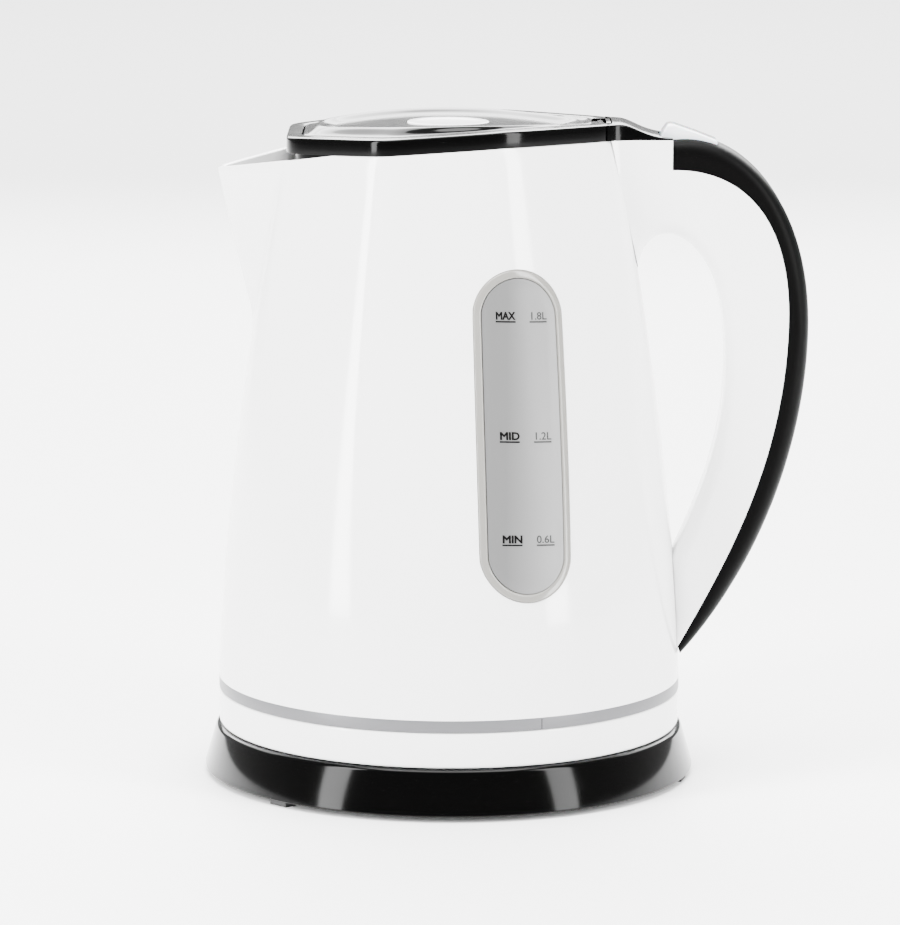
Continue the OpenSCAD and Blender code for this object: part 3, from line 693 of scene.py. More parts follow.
def settle(obj: bpy.types.Object, finish: Finish, body: str, node: str = "",
           degrees: float = 32) -> bpy.types.Object:
    """Finishes a new piece: shading, material, body, and the CAD node that it stands for.

    Args:
        obj: The piece.
        finish: Its finish.
        body: The body it rides on.
        node: The CAD node it replaces, if any.
        degrees: Edges up to this angle are shaded smooth.

    Returns:
        The piece.
    """
    obj.name = obj.data.name = obj.name.replace(" ", "_")
    smooth(obj, degrees)
    dress(obj, finish)
    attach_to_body(obj, body)
    if node:
        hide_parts(node)
    LOG.info("%s: %d faces on %s", obj.name, len(obj.data.polygons), body)
    return obj


def dress_carried() -> None:
    """Gives each CAD node that stays in sight its finish."""
    for finish, names in CARRIED.items():
        for name in names:
            dress(frame["nodes"][name], finish)


# ---- the jug's shape ---------------------------------------------------------------------------


@dataclass(frozen=True)
class JugForm:
    """The jug's outer shape: round at the foot, a long octagon with a V spout at the rim."""

    foot_r: float = 85.0
    top_x: float = 59.2
    front_half: float = 26.0
    side_corner: Point = (-24.0, 52.0)
    rear_corner: Point = (19.6, 43.0)
    tail_half: float = 15.8
    crisp: float = 26.0
    top_slope: float = 0.05
    spout_x: float = 87.6
    spout_angle: float = 41.0
    spout_drop: float = 71.0
    spout_slope: float = 0.145
    cheek_full: float = 40.0
    cheek_end: float = 62.0
    crease: float = 1.6
    nose: float = 3.0
    wall: float = 2.8
    taper_power: float = 1.7
    blend_power: float = 1.1
    base_top: float = 18.5
    band_top: float = high("waist_band", 2)
    rim_z: float = 234.0
    collar_h: float = 5.8

    @property
    def top_z(self) -> float:
        """Height of the collar's top."""
        return self.rim_z + self.collar_h

    @property
    def taper_z(self) -> float:
        """Height at which the jug starts to taper."""
        return self.base_top + 2.5

    @property
    def blend_z(self) -> float:
        """Height at which the flat sides start to show."""
        return self.base_top + 51.5

    def sides(self) -> list[tuple[float, float, float]]:
        """The flat sides on one half, each as its direction and distance.

        Returns:
            The sides, each with its direction, distance and weight.
        """
        tail = (self.top_x - 1.3, self.tail_half)
        corners = ((-self.top_x, self.front_half), self.side_corner, self.rear_corner, tail)
        planes = []
        for p, q in zip(corners, corners[1:]):
            dx, dy = q[0] - p[0], q[1] - p[1]
            length = math.hypot(dx, dy)
            n = (-dy / length, dx / length)
            planes.append((n[0], n[1], n[0] * p[0] + n[1] * p[1]))
        return planes

    def plan_r(self, angle: float, inset: float = 0.0, front: float | None = None) -> float:
        """Distance from the axis to the top outline.

        Args:
            angle: The direction in degrees.
            inset: How far the outline is moved inwards.
            front: How far the front face is moved instead.

        Returns:
            The distance.
        """
        front_in = inset if front is None else front
        ux, uy = math.cos(math.radians(angle)), math.sin(math.radians(angle))
        pull = (max(0.0, -ux) / (self.top_x - front_in)) ** self.crisp
        pull += (max(0.0, ux) / (self.top_x - inset)) ** self.crisp
        for nx, ny, d in self.sides():
            for s in (1, -1):
                pull += (max(0.0, nx * ux + s * ny * uy) / (d - inset)) ** self.crisp
        return pull ** (-1 / self.crisp)

    def body_r(self, z: float) -> float:
        """Half length of the jug at a height."""
        share = max(0.0, z - self.taper_z) / (self.rim_z - self.taper_z)
        return self.foot_r - (self.foot_r - self.top_x) * share**self.taper_power

    def sag(self, x: float) -> float:
        """How far the top lies below its level rear part."""
        return self.top_slope * max(0.0, self.rear_corner[0] - x)

    def rim_at(self, x: float) -> float:
        """Height of the rim at an x."""
        start = self.top_x - 16
        return self.rim_z - self.sag(x) - self.spout_slope * max(0.0, -start - x)

    def spout_edge(self, z: float) -> float:
        """Distance from the axis to the spout's front edge.

        Args:
            z: The height.

        Returns:
            The distance in millimetres.
        """
        foot_z = self.rim_z - self.spout_drop
        if z <= foot_z:
            return 0.0
        foot = self.body_r(foot_z)
        share = min(1.0, (z - foot_z) / (self.rim_at(-self.spout_x) - foot_z))
        return foot + (self.spout_x - foot) * share**0.85

    def outer(self, angle: float, z: float) -> float:
        """Distance from the axis to the outer wall.

        Args:
            angle: The direction in degrees.
            z: The height.

        Returns:
            The distance in millimetres.
        """
        share = max(0.0, z - self.blend_z) / (self.rim_z - self.blend_z)
        w = share**self.blend_power
        flat = self.body_r(z) * (1 - w + w * self.plan_r(angle) / self.top_x)
        off = abs(angle % 360 - 180)
        turned = math.radians(min(math.sqrt(off * off + self.nose**2) - self.nose * 0.4, 80))
        half = math.radians(self.spout_angle)
        cheek = self.spout_edge(z) * math.sin(half) / (
            math.sin(half) * math.cos(turned) + math.cos(half) * math.sin(turned))
        show = unit_step((self.cheek_end - off) / (self.cheek_end - self.cheek_full))
        return flat + show * soft_above(cheek - flat, self.crease)

    def column_top(self, angle: float) -> float:
        """Height of the rim in a direction."""
        reach = self.outer(angle, self.rim_z - self.collar_h)
        return self.rim_at(math.cos(math.radians(angle)) * reach)

    def on_top(self, angle: float, inset: float, front: float, z: float, dips: float = 1.0,
               out: float = 1.0) -> Vector:
        """A place on the collar or lid, which dip with the rim by a share.

        Args:
            angle: The direction in degrees.
            inset: How far in from the jug's top outline.
            front: How far in from it at the front face.
            z: The height where the top is level.
            dips: 1 where the place dips with the top, 0 where it stays level.
            out: Share of the way out from the axis.

        Returns:
            The place in the frame.
        """
        reach = self.plan_r(angle, inset, front) * out
        a = math.radians(angle)
        x, y = reach * math.cos(a), reach * math.sin(a)
        return to_frame(x, y, z - dips * self.sag(x))


FORM = JugForm()


# ---- power base --------------------------------------------------------------------------------


@dataclass
class PowerBase:
    """The round base with its skirt and the hole for the mains lead's bush."""

    foot_h: float = low("base_skirt", 2)
    deck_z: float = high("base_skirt", 2)
    base_r: float = 90.0
    top_r: float = 85.4
    wall: float = 2.2
    socket_r: float = 20.15
    edge: float = 0.8
    top_edge: float = 1.5

    def build(self) -> None:
        """Builds the skirt."""
        skirt = add_post("skirt", self.base_r, self.foot_h, self.deck_z, vertices=192)
        choose(skirt, "FACE", lambda middle, normal: normal.z > 0.9)
        shrink = self.top_r / self.base_r
        bpy.ops.transform.resize(value=(shrink, shrink, 1),
                                 center_override=to_frame(0, 0, self.deck_z))
        done()
        bevel(skirt, self.top_edge, 5, lambda a, b: min(a.z, b.z) > self.deck_z - 0.1)
        bevel(skirt, self.edge, 3, lambda a, b: max(a.z, b.z) < self.foot_h + 0.1)
        ceiling = self.deck_z - self.wall
        hollow = add_post("hollow", self.base_r - self.wall - 0.6, self.foot_h - 5, ceiling,
                          vertices=192)
        choose(hollow, "FACE", lambda middle, normal: normal.z > 0.9)
        narrow = (self.top_r - self.wall - 1) / (self.base_r - self.wall - 0.6)
        bpy.ops.transform.resize(value=(narrow, narrow, 1), center_override=to_frame(0, 0, ceiling))
        done()
        combine(skirt, hollow)
        combine(skirt, add_post("socket", self.socket_r, self.foot_h, self.deck_z + 5))
        lead_z = (low("cord_bush", 2) + high("cord_bush", 2)) / 2
        combine(skirt, add_bar("lead hole", 4.8, 16, 0, lead_z, y=self.base_r))
        settle(skirt, BLACK_GLOSS, "base", "base_skirt")


# ---- jug foot ----------------------------------------------------------------------------------


@dataclass
class JugFoot:
    """The white foot ring and the silver band above it."""

    trim_r: float = 84.6
    inner_r: float = 79.6
    trim_bottom: float = low("lower_trim", 2)
    trim_top: float = low("waist_band", 2)
    band_top: float = high("waist_band", 2)
    join_x: float = 33.0
    join_w: float = 0.35

    def ring(self, name: str, radius: float, bottom: float, top: float,
             edge: float) -> bpy.types.Object:
        """Makes a ring with broken outer edges."""
        inner = self.inner_r
        corners = ((radius, bottom), (radius, top), (inner, top), (inner, bottom))
        return lathe(name, rounded(corners, (edge, edge * 0.6, 0, 0)), columns=192)

    def build(self) -> None:
        """Builds the foot ring and the band with its join."""
        trim = self.ring("foot ring", self.trim_r, self.trim_bottom, self.trim_top, 1.4)
        settle(trim, WHITE_GLOSS, "jug", "lower_trim")
        band = self.ring("band", self.trim_r + 0.1, self.trim_top, self.band_top, 0.4)
        near = -math.sqrt(self.trim_r**2 - self.join_x**2)
        combine(band, add_block("join", (self.join_x - self.join_w / 2, near - 1.5, self.trim_top + 0.2),
                                (self.join_x + self.join_w / 2, near + 0.6, self.band_top - 0.2)))
        settle(band, BAND_SILVER, "jug", "waist_band")


# ---- window ------------------------------------------------------------------------------------


@dataclass
class WaterWindow:
    """The pill-shaped level window on the near side: clear frame, smoked lens and level marks."""

    turn: float = -68.0
    lean: float = 3.0
    middle_z: float = 134.4
    half_w: float = 17.4
    half_h: float = 57.6
    border: float = 3.0
    mark_heights: tuple[float, ...] = (174.0, 132.5, 96.8)
    words: tuple[str, ...] = ("MAX", "MID", "MIN")
    volumes: tuple[str, ...] = ("1.8L", "1.2L", "0.6L")

    def on_wall(self, side: float, z: float, inset: float) -> Vector:
        """A place on the wall, a number of millimetres beside the window's direction.

        Args:
            side: How far beside the direction it lies.
            z: The height.
            inset: How far inside the wall it lies.

        Returns:
            The place in the frame.
        """
        angle = self.turn
        out = 1.0
        for _ in range(5):
            reach = FORM.outer(angle, z) - inset
            out = math.sqrt(max(reach * reach - side * side, 1.0))
            angle = self.turn + math.degrees(math.atan2(side, out))
        a = math.radians(self.turn)
        return to_frame(out * math.cos(a) - side * math.sin(a),
                        out * math.sin(a) + side * math.cos(a), z)

    def leaned(self, p: float, q: float) -> tuple[float, float]:
        """Turns a place in the window's own plane by its lean."""
        c, s = math.cos(math.radians(self.lean)), math.sin(math.radians(self.lean))
        return p * c + q * s, self.middle_z - p * s + q * c

    def pill(self, share: float, w: float, h: float) -> Point:
        """A place round a pill of half width w and half height h."""
        angle = 2 * math.pi * share
        x, z = w * math.cos(angle), w * math.sin(angle)
        return x, z + (h - w) * max(-1.0, min(1.0, 6 * math.sin(angle)))

    def ring(self, name: str, grow: float, profile: Sequence[Point]) -> bpy.types.Object:
        """Carries a profile of borders and insets round the pill.

        Args:
            name: The piece's name.
            grow: How much the pill is enlarged.
            profile: Borders and insets, in order.

        Returns:
            The closed ring.
        """
        rows = len(profile) - 1

        def shape(u: float, v: float) -> Vector:
            """Finds a grid point's place."""
            border, inset = profile[round(v * rows)]
            w, h = self.half_w + grow - border, self.half_h + grow - border
            if w <= 0.01:
                w, h = 0.0, self.half_h - self.half_w
            return self.on_wall(*self.leaned(*self.pill(u % 1, w, h)), inset)

        return add_sheet(name, 160, rows, shape)

    def cutter(self) -> bpy.types.Object:
        """Makes the solid that opens the jug's wall for the window."""
        return self.ring("opening", 0.15, ((self.half_w + 1, -4), (9, -4), (0, -4), (0, 7),
                                           (9, 7), (self.half_w + 1, 7)))

    def print_on(self, obj: bpy.types.Object, finish: Finish, name: str) -> None:
        """Wraps a flat print, drawn in millimetres in the window's plane, onto the lens.

        Args:
            obj: The flat print.
            finish: Its finish.
            name: The piece's name.
        """
        pick(obj)
        for vertex in obj.data.vertices:
            side, z = self.leaned(vertex.co.x, vertex.co.y - self.middle_z)
            vertex.co = self.on_wall(side, z, -0.24 - vertex.co.z)
        obj.name = name
        obj.data.name = name
        settle(obj, finish, "jug")

    def word(self, text: str, size: float, weight: float) -> bpy.types.Object:
        """Makes a word as a flat mesh in millimetres with its left end at the origin.

        Args:
            text: The word.
            size: The letters' size.
            weight: How much the letters are thickened.

        Returns:
            The flat mesh.
        """
        bpy.ops.object.select_all(action="DESELECT")
        bpy.ops.object.text_add()
        obj = bpy.context.object
        obj.data.body = text
        obj.data.size = size
        obj.data.bevel_depth = weight
        obj.data.extrude = 0.03
        obj.data.resolution_u = 4
        pick(obj)
        bpy.ops.object.convert(target="MESH")
        return bpy.context.object

    def bar(self, left: float, right: float, z: float, thick: float) -> bpy.types.Object:
        """Makes a thin level line as a flat mesh in millimetres.

        Args:
            left: Its left end.
            right: Its right end.
            z: Its height.
            thick: Its thickness.

        Returns:
            The flat mesh.
        """
        bpy.ops.object.select_all(action="DESELECT")
        bpy.ops.mesh.primitive_grid_add(x_subdivisions=10, y_subdivisions=1, size=1)
        obj = bpy.context.object
        for vertex in obj.data.vertices:
            vertex.co = ((left + right) / 2 + vertex.co.x * (right - left),
                         z + vertex.co.y * thick, 0.0)
        choose(obj, "FACE", lambda middle, normal: True)
        bpy.ops.mesh.extrude_region_move(TRANSFORM_OT_translate={"value": (0, 0, 0.06)})
        done()
        tidy(obj)
        return obj

    def build_marks(self) -> None:
        """Prints the level marks."""
        for z, word, volume in zip(self.mark_heights, self.words, self.volumes):
            for text, left, right, finish, weight in (
                (word, -9.2, -1.8, PRINT_BLACK, 0.12), (volume, 3.6, 10.6, PRINT_GREY, 0.03)):
                line = self.bar(left, right, z, 0.5)
                letters = self.word(text, 3.7, weight)
                wide = max(v.co.x for v in letters.data.vertices)
                for vertex in letters.data.vertices:
                    vertex.co.x = left + vertex.co.x * (right - left) / wide
                    vertex.co.y += z + 0.8
                attach(line, [letters])
                self.print_on(line, finish, f"mark {text}")

    def build(self) -> None:
        """Builds the frame, the lens and the marks."""
        b = self.border
        border = rounded(((0, 3.0), (0, -0.5), (b, -0.5), (b, 3.0)), (0, 0.8, 1.1, 0), steps=5)
        settle(self.ring("window frame", 0.0, border), FRAME_CLEAR, "jug", "window_frame")
        edge = b + 0.1
        middle = self.half_w + 1
        lens = ((middle, 2.4), (11, 2.4), (edge, 2.4), (edge, -0.3), (edge + 0.5, -0.36),
                (edge + 1.0, -0.2), (7, -0.2), (11, -0.2), (14.5, -0.2), (middle, -0.2))
        settle(self.ring("lens", 0.0, lens), LENS_GREY, "jug", "water_window")
        self.build_marks()


# ---- jug ---------------------------------------------------------------------------------------


@dataclass
class Jug:
    """The white jug with its spout, open where the window and the wiring pass."""

    columns: int = 360
    outer_rows: int = 84
    inner_rows: int = 40
    edge: float = 0.5

    def profile(self) -> list[Point]:
        """The wall's section as shares of the height and insets, closed."""
        wall, edge = FORM.wall, self.edge
        up = [(k / self.outer_rows * 0.997, 0.0) for k in range(self.outer_rows + 1)]
        rim = [(0.9992, edge * 0.3), (1.0, edge), (1.0, wall - edge), (0.9992, wall - edge * 0.3)]
        down = [(0.997 - k / self.inner_rows * 0.997, wall) for k in range(self.inner_rows + 1)]
        return [*up, *rim, *down, up[0]]

    def place(self, angle: float, share: float, inset: float) -> Vector:
        """A place on the wall for a direction, a share of the height and an inset."""
        z = FORM.band_top + share * (FORM.column_top(angle) - FORM.band_top)
        reach = FORM.outer(angle, z) - inset
        a = math.radians(angle)
        return to_frame(reach * math.cos(a), reach * math.sin(a), z)

    def build(self, window: WaterWindow) -> None:
        """Builds the wall, opens the window and adds the ledge over the heating plate.

        Args:
            window: The window that the wall is opened for.
        """
        shell = add_ring("jug wall", self.columns, self.profile(), self.place)
        combine(shell, window.cutter())
        plate_z = high("heating_plate", 2)
        inner = FORM.body_r(plate_z) - FORM.wall
        plate_r = high("heating_plate", 0)
        ledge = lathe("ledge", rounded(((inner + 1, plate_z), (inner + 1, plate_z + 2),
                                        (plate_r - 2, plate_z + 2), (plate_r - 2, plate_z)),
                                       (0, 0, 0.6, 0)))
        attach(shell, [ledge])
        settle(shell, WHITE_GLOSS, "jug", "jug_shell")


# ---- collar ------------------------------------------------------------------------------------


@dataclass
class Collar:
    """The black collar round the lid, with the tail that runs onto the handle."""

    lid_inset: float = 7.6
    lid_front: float = 5.6
    shelf_in: float = 10.6
    insert_in: float = 3.2
    insert_h: float = 12.0
    tail_x: float = 80.0
    tail_drop: float = 5.2
    handle_half: float = 12.3
    flare: float = 4.4
    root_slope: float = 0.71
    edge: float = 1.1
    tail_edge: float = 2.4
    pocket_half: float = 8.4

    def plan_half(self, x: float) -> float:
        """Half width of the tail and handle at an x."""
        start = FORM.top_x - 1.3
        left = min(1.0, max(0.0, (self.tail_x - x) / (self.tail_x - start)))
        grow = self.root_slope * max(0.0, start - x)
        return self.handle_half + grow + (FORM.tail_half - self.handle_half) * left**self.flare

    def strips(self) -> list[float]:
        """The x places between the jug and the lever where the width changes."""
        start = FORM.top_x - 2
        return [start + (self.tail_x - start) * k / 14 for k in range(1, 14)]

    def tail_curve(self) -> list[Point]:
        """The tail's top line, from the collar down to the lever."""
        top, x = FORM.top_z, self.tail_x
        return curve(((FORM.top_x + 1.5, top), (x - 14, top), (x - 11, top - self.tail_drop + 0.5),
                      (x, top - self.tail_drop)))

    def tail(self) -> bpy.types.Object:
        """Makes the tail.

        Returns:
            The tail, open for the lever.
        """
        inner = FORM.top_x - 3
        line = self.tail_curve()
        outline = [(inner, FORM.rim_z), (inner, FORM.top_z), *line, (self.tail_x, FORM.rim_z)]
        tail = add_profile("tail", outline, self.plan_half, self.strips())
        tops = [(inner, FORM.top_z), *line]

        def on_top_edge(a: Vector, b: Vector) -> bool:
            """Tells whether an edge runs along the top on one side."""
            return a.y * b.y > 0 and all(
                abs(p.z - height_on(tops, p.x)) < 0.06 and p.z > FORM.rim_z + 0.2 for p in (a, b))

        bevel(tail, self.tail_edge, 5, on_top_edge)
        combine(tail, lever_pocket())
        return tail

    def build(self) -> None:
        """Builds the collar with its tail, hinge pocket and catch notch."""
        low_z, top, shelf = FORM.rim_z - self.insert_h, FORM.top_z, FORM.rim_z - 0.1
        corners = (
            (0, 0, FORM.rim_z, 1), (0, 0, top, 1), (self.lid_inset, self.lid_front, top, 1),
            (self.lid_inset, self.lid_front, shelf, 1), (self.shelf_in, self.shelf_in, shelf, 1),
            (self.shelf_in, self.shelf_in, low_z, 0), (self.insert_in, self.insert_in, low_z, 0),
            (self.insert_in, self.insert_in, FORM.rim_z, 1))
        edges = (0.3, self.edge, 0.7, 0, 0.3, 0.3, 0.3, 0)
        collar = add_ring("collar ring", 360, rounded(corners, edges), FORM.on_top)
        hinge_x, hinge_z = hinge_place()
        half = self.pocket_half
        combine(collar, add_block("hinge pocket", (hinge_x - 6, -half, FORM.rim_z - 1),
                                  (hinge_x + 3.5, half, FORM.top_z + 4)))
        latch_z = low("lid_latch", 2)
        catch_x = -FORM.top_x + self.insert_in + 1.6
        combine(collar, add_block("catch", (catch_x, -6, latch_z - 1),
                                  (catch_x + 10, 6, FORM.rim_z - 1)))
        attach(collar, [self.tail()])
        settle(collar, BLACK_GLOSS, "jug", "collar")


def height_on(line: Sequence[Point], x: float) -> float:
    """The height of a line that runs along x."""
    for (x0, z0), (x1, z1) in zip(line, line[1:]):
        if x0 - 1e-6 <= x <= x1 + 1e-6 and x1 > x0:
            return z0 + (z1 - z0) * (x - x0) / (x1 - x0)
    return line[-1][1]


def hinge_place() -> Point:
    """The lid hinge's x and z."""
    joint = next(j for j in frame["joints"] if j["name"] == "lid_hinge")
    place = from_frame(Vector(joint["pos_m"]))
    return place.x, place.z


def lever_pocket() -> bpy.types.Object:
    """Makes the solid that leaves room for the switch lever."""
    half = high("switch_lever", 1) + 0.3
    start, length, depth = Collar.tail_x - 4.7, 21.4, 8.0
    return add_block("lever pocket", (start, -half, FORM.rim_z - depth),
                     (start + length, half, FORM.rim_z + depth))


# ---- handle ------------------------------------------------------------------------------------


@dataclass
class Handle:
    """The looped handle: a white inner half, a black outer grip, and the switch lever."""

    collar: Collar
    reach: float = 130.2
    drop: float = 72.0
    tip_z: float = 45.0
    grip_t: float = 7.5
    front_h: float = 10.8
    loop_t: float = 30.2
    root_h: float = 34.5
    gap_bottom: float = 81.0
    grip_edge: float = 5.5
    shell_edge: float = 6.5

    def sweep(self, top: Point, mid: Point, end: Point, k: Sequence[float]) -> list[Point]:
        """A line that swings out from the tail and back to the handle's tip."""
        return curve((
            top, (top[0] + k[0] * (mid[0] - top[0]), top[1] + k[1]),
            (mid[0] + k[2], mid[1] + k[3] * (top[1] - mid[1])), mid,
            (mid[0] - k[4], mid[1] - k[5] * (mid[1] - end[1])),
            (end[0] + k[6] * (mid[0] - end[0]), end[1] + k[7] * (mid[1] - end[1])), end), 28)

    def outer_line(self) -> list[Point]:
        """The grip's outer line."""
        tip = (FORM.body_r(self.tip_z) + 0.4, self.tip_z)
        return self.sweep((self.collar.tail_x, FORM.rim_z), (self.reach, FORM.rim_z - self.drop),
                          tip, (0.5, 3.6, 1.4, 0.68, 0.93, 0.34, 0.63, 0.267))

    def seam_line(self) -> list[Point]:
        """The line between the grip and the white inner half."""
        tip = (FORM.body_r(self.tip_z) - 0.6, self.tip_z + 3)
        return self.sweep((self.collar.tail_x, FORM.rim_z - self.front_h),
                          (self.reach - self.grip_t, FORM.rim_z - self.drop + 5), tip,
                          (0.6, 0.6, 0.74, 0.69, 0.93, 0.417, 0.469, 0.275))

    def gap_line(self) -> list[Point]:
        """The finger gap's line, from the jug at its top to the jug at its bottom.

        Returns:
            The line, as x and z.
        """
        top = FORM.rim_z - self.root_h
        x = self.reach - self.loop_t
        start = (FORM.body_r(top - 12.5), top - 12.5)
        return curve((
            start, (start[0] + 1, start[1] + 13), (x - 20, top + 3.5), (x - 12, top - 4.5),
            (x - 2, top - 15), (x - 0.5, top - 29.5), (x, top - 44),
            (x + 1, self.gap_bottom + 48), (x - 7, self.gap_bottom + 24),
            (FORM.body_r(self.gap_bottom) - 0.5, self.gap_bottom)), 20)

    def build(self) -> None:
        """Builds the grip, the inner half and the lever."""
        outer, seam = self.outer_line(), self.seam_line()
        grip = add_loft("grip", seam, outer, lambda x: self.collar.handle_half, self.grip_edge)
        combine(grip, lever_pocket())
        settle(grip, BLACK_SATIN, "jug", "handle_grip", 50)
        self.build_inner(seam)
        self.build_lever()

    def build_inner(self, seam: Sequence[Point]) -> None:
        """Builds the white inner half, from the jug's rear wall round to the tip.

        Args:
            seam: The line between the grip and the inner half.
        """
        gap = self.gap_line()
        tail_x, top = self.collar.tail_x, FORM.rim_z
        root = (FORM.body_r(top) - FORM.wall / 2, top)
        wall = [(FORM.body_r(z) - FORM.wall / 2, z) for z in
                (gap[-1][1] + (self.tip_z + 1 - gap[-1][1]) * k / 20 for k in range(1, 21))]
        turn = len(gap) // 5
        near = [*spread(gap[: turn + 1], 24), *spread(gap[turn:], 80)[1:], *wall]
        far = [*spread((root, (tail_x, top)), 23), *spread((seam[0], seam[1]), 2)[:1],
               *spread(seam, len(near) - 23)[1:]]
        inner = add_loft("handle inner half", far, near, self.collar.plan_half, self.shell_edge)
        combine(inner, lever_pocket())
        settle(inner, WHITE_GLOSS, "jug", "handle_shell", 50)

    def build_lever(self) -> None:
        """Builds the milky switch lever."""
        x, z = self.collar.tail_x, FORM.rim_z
        half = high("switch_lever", 1)
        outline = [(x - 3.6, z - 4.4), (x - 4.4, z), (x - 3.4, z + 2.4), (x - 1.6, z + 4.8),
                   (x + 0.4, z + 5), (x + 8, z + 2.4), (x + 16.4, z - 0.8), (x + 16.4, z - 2),
                   (x + 10, z - 5.6), (x + 4, z - 5.6)]
        lever = add_profile("lever", outline, lambda place: half)
        bevel(lever, 0.7, 3, lambda a, b: True)
        settle(lever, LEVER_MILK, "lever", "switch_lever", 40)


# ---- lid ---------------------------------------------------------------------------------------


@dataclass
class Lid:
    """The black lid with its arched oval crest, the basin inside it and the pale press button."""

    inset: float = 8.0
    front: float = 6.0
    crest_x: float = 49.5
    crest_y: float = 36.0
    crest_rise: float = 1.2
    arch_x: float = 5.0
    arch: float = 0.0009
    basin_w: float = 7.0
    basin_depth: float = 1.5
    button_r: float = 15.0
    button_gap: float = 0.15
    swing: float = 3.7
    relief_w: float = 12.0
    knuckle_half: float = 8.0
    knuckle_r: float = 2.7

    def crest_r(self, angle: float, inwards: float) -> float:
        """Distance from the axis to the crest, moved inwards."""
        a = math.radians(angle)
        oval = 1 / math.hypot(math.cos(a) / self.crest_x, math.sin(a) / self.crest_y)
        edge = FORM.plan_r(angle, self.inset + 2.5, self.front + 2.5)
        sharp = 14
        return (oval**-sharp + edge**-sharp) ** (-1 / sharp) - inwards

    def arch_z(self, x: float) -> float:
        """Height of the crest's arch."""
        return FORM.top_z + self.crest_rise - self.arch * (x - self.arch_x) ** 2

    def place(self, angle: float, step: float) -> Vector:
        """A place on the cover's section.

        Args:
            angle: The direction in degrees.
            step: 0 at the middle of the underside, 1 to 2 up the edge, 3 at the crest, 4 at the
                basin's floor and 5 at the middle of the top.

        Returns:
            The place in the frame.
        """
        bottom, top = FORM.rim_z + 0.2, FORM.top_z + 0.1
        a = math.radians(angle)
        edge = FORM.plan_r(angle, self.inset, self.front)
        soft = FORM.plan_r(angle, self.inset + 0.8, self.front + 0.8)
        crest, floor = self.crest_r(angle, 0), self.crest_r(angle, self.basin_w)
        if step <= 1:
            reach = edge * step
        elif step <= 1.8:
            reach = edge
        elif step <= 2:
            reach = edge + (soft - edge) * (1 - math.cos((step - 1.8) * 2.5 * math.pi))
        elif step <= 3:
            reach = soft + (crest - soft) * (step - 2)
        elif step <= 4:
            reach = crest + (floor - crest) * (step - 3)
        else:
            reach = floor * (5 - step)
        x, y = reach * math.cos(a), reach * math.sin(a)
        sagged = top - FORM.sag(x)
        if step <= 1:
            z = bottom - FORM.sag(x)
        elif step <= 2:
            rise = min(1.0, (step - 1) / 0.8)
            z = bottom - FORM.sag(x) + (top - 0.6 - bottom) * rise
            z += 0.6 * math.sin(max(0.0, step - 1.8) * 2.5 * math.pi)
        elif step <= 3:
            t = unit_step(step - 2)
            z = sagged + (self.arch_z(x) - sagged) * t
        else:
            z = self.arch_z(x) - self.basin_depth * unit_step(step - 3)
        return to_frame(x, y, z)

    def build(self) -> None:
        """Builds the cover and the button."""
        steps = [0, 0.5, 1, 1.4, 1.8, 1.85, 1.9, 1.95]
        steps += [2 + k / 10 for k in range(10)] + [3 + k / 16 for k in range(16)]
        steps += [4 + k / 4 for k in range(5)] + [0]
        cover = add_ring("lid", 360, [(step,) for step in steps], self.place)
        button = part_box("lid_button")
        centre = from_frame((Vector(button[0]) + Vector(button[1])) / 2)
        bottom = FORM.rim_z + 0.2
        combine(cover, add_post("button hole", self.button_r + self.button_gap, bottom - 6,
                                FORM.top_z + 6, centre.x, centre.y, 128))
        hinge_x, hinge_z = hinge_place()
        knuckle = self.knuckle_half
        for side in (-1, 1):
            near, far = sorted((side * knuckle, side * (knuckle + self.relief_w)))
            combine(cover, add_block("relief", (hinge_x - self.swing, near, bottom - 2),
                                     (hinge_x, far, bottom + 9)))
        web = add_block("web", (hinge_x - 5, -knuckle, bottom), (hinge_x, knuckle, bottom + 5.0))
        knuckle = add_bar("knuckle", self.knuckle_r, 2 * knuckle, hinge_x, hinge_z)
        attach(cover, [web, knuckle])
        settle(cover, BLACK_GLOSS, "lid", "lid_cover")
        self.build_button(centre)

    def build_button(self, centre: Vector) -> None:
        """Builds the button with a broken edge and a shallow dish.

        Args:
            centre: The button's middle, from the jug's axis.
        """
        top = high("lid_button", 2)
        bottom = top - 6
        button = add_post("button", self.button_r, bottom, top, centre.x, 0, 128)
        bevel(button, 0.7, 4, lambda a, b: min(a.z, b.z) > top - 0.05)
        choose(button, "FACE", lambda middle, normal: normal.z > 0.99 and middle.z > top - 0.05)
        bpy.ops.mesh.inset(thickness=2.4 * MM, depth=-0.25 * MM)
        bpy.ops.mesh.inset(thickness=3.0 * MM, depth=-0.12 * MM)
        done()
        settle(button, BUTTON_PALE, "button", "lid_button", 20)


# ---- surroundings ------------------------------------------------------------------------------


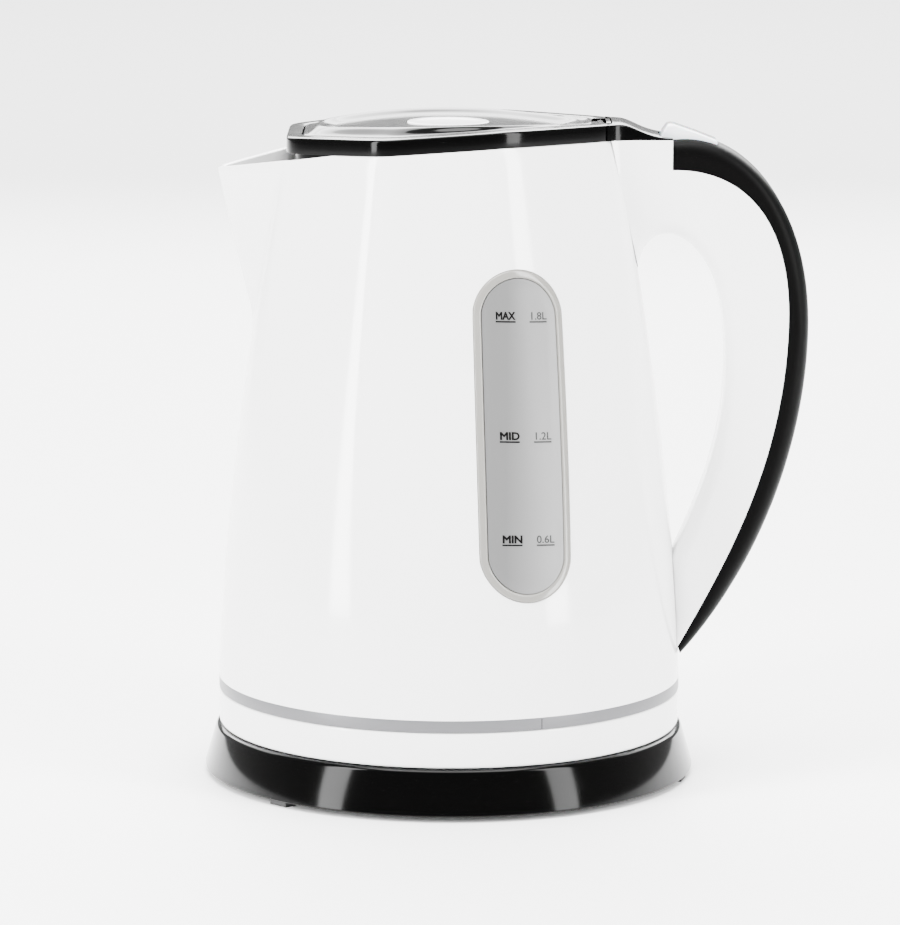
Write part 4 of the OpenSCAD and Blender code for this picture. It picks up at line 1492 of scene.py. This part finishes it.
@dataclass(frozen=True)
class Studio:
    """The pale floor, the soft lights and the camera."""

    lens: float = 194.6
    sensor: float = 36.0
    camera_x: float = 0.1
    camera_y: float = -1807.3
    camera_z: float = 421.25
    pitch: float = 9.65
    roll: float = 0.22
    floor_half: float = 4000.0

    def build(self) -> None:
        """Sets up the floor, lights, sky and camera."""
        self.build_floor()
        self.build_lights()
        self.build_camera()

    def build_floor(self) -> None:
        """Adds the floor, which isn't part of the object."""
        bpy.ops.object.select_all(action="DESELECT")
        bpy.ops.mesh.primitive_plane_add(size=2 * self.floor_half * MM)
        floor = fresh("floor")
        material = bpy.data.materials.new("pale floor")
        material.use_nodes = True
        shader = material.node_tree.nodes["Principled BSDF"]
        shader.inputs["Base Color"].default_value = (0.9, 0.9, 0.9, 1)
        shader.inputs["Roughness"].default_value = 0.5
        floor.data.materials.append(material)

    def build_lights(self) -> None:
        """Adds soft panels and a pale sky."""
        for name, place, aim, size, power in (
            ("left panel", (-1300, -900, 700), (0, 0, 130), (380, 1500), 100),
            ("right panel", (1300, -900, 700), (0, 0, 130), (380, 1500), 75),
            ("rear panel", (0, 1500, 900), (0, 0, 130), (2200, 900), 60),
            ("top panel", (0, -300, 1900), (0, 0, 100), (1600, 1200), 130),
            ("far panel", (0, 3200, 2400), (0, 3000, 0), (7000, 3600), 640),
        ):
            data = bpy.data.lights.new(name, "AREA")
            data.shape = "RECTANGLE"
            data.size, data.size_y = size[0] * MM, size[1] * MM
            data.energy = power
            light = bpy.data.objects.new(name, data)
            bpy.context.scene.collection.objects.link(light)
            light.location = to_frame(*place)
            light.rotation_euler = (to_frame(*aim) - light.location).to_track_quat("-Z", "Y").to_euler()
        world = bpy.data.worlds.new("pale room")
        bpy.context.scene.world = world
        world.use_nodes = True
        sky = world.node_tree.nodes["Background"]
        sky.inputs["Color"].default_value = (1.0, 1.0, 1.0, 1)
        sky.inputs["Strength"].default_value = 0.62

    def build_camera(self) -> None:
        """Adds the camera."""
        data = bpy.data.cameras.new("camera")
        data.lens = self.lens
        data.sensor_width = self.sensor
        camera = bpy.data.objects.new("camera", data)
        bpy.context.scene.collection.objects.link(camera)
        camera.matrix_world = (
            Matrix.Translation(to_frame(self.camera_x, self.camera_y, self.camera_z))
            @ Matrix.Rotation(math.radians(90 - self.pitch), 4, "X")
            @ Matrix.Rotation(math.radians(self.roll), 4, "Z"))
        bpy.context.scene.camera = camera


def main() -> None:
    """Builds the kettle's pieces in order, then its surroundings."""
    logging.basicConfig(level=logging.INFO, format="%(name)s %(message)s")
    dress_carried()
    PowerBase().build()
    JugFoot().build()
    window = WaterWindow()
    Jug().build(window)
    window.build()
    collar = Collar()
    collar.build()
    Handle(collar).build()
    Lid().build()
    Studio().build()


if __name__ == "__main__":
    main()
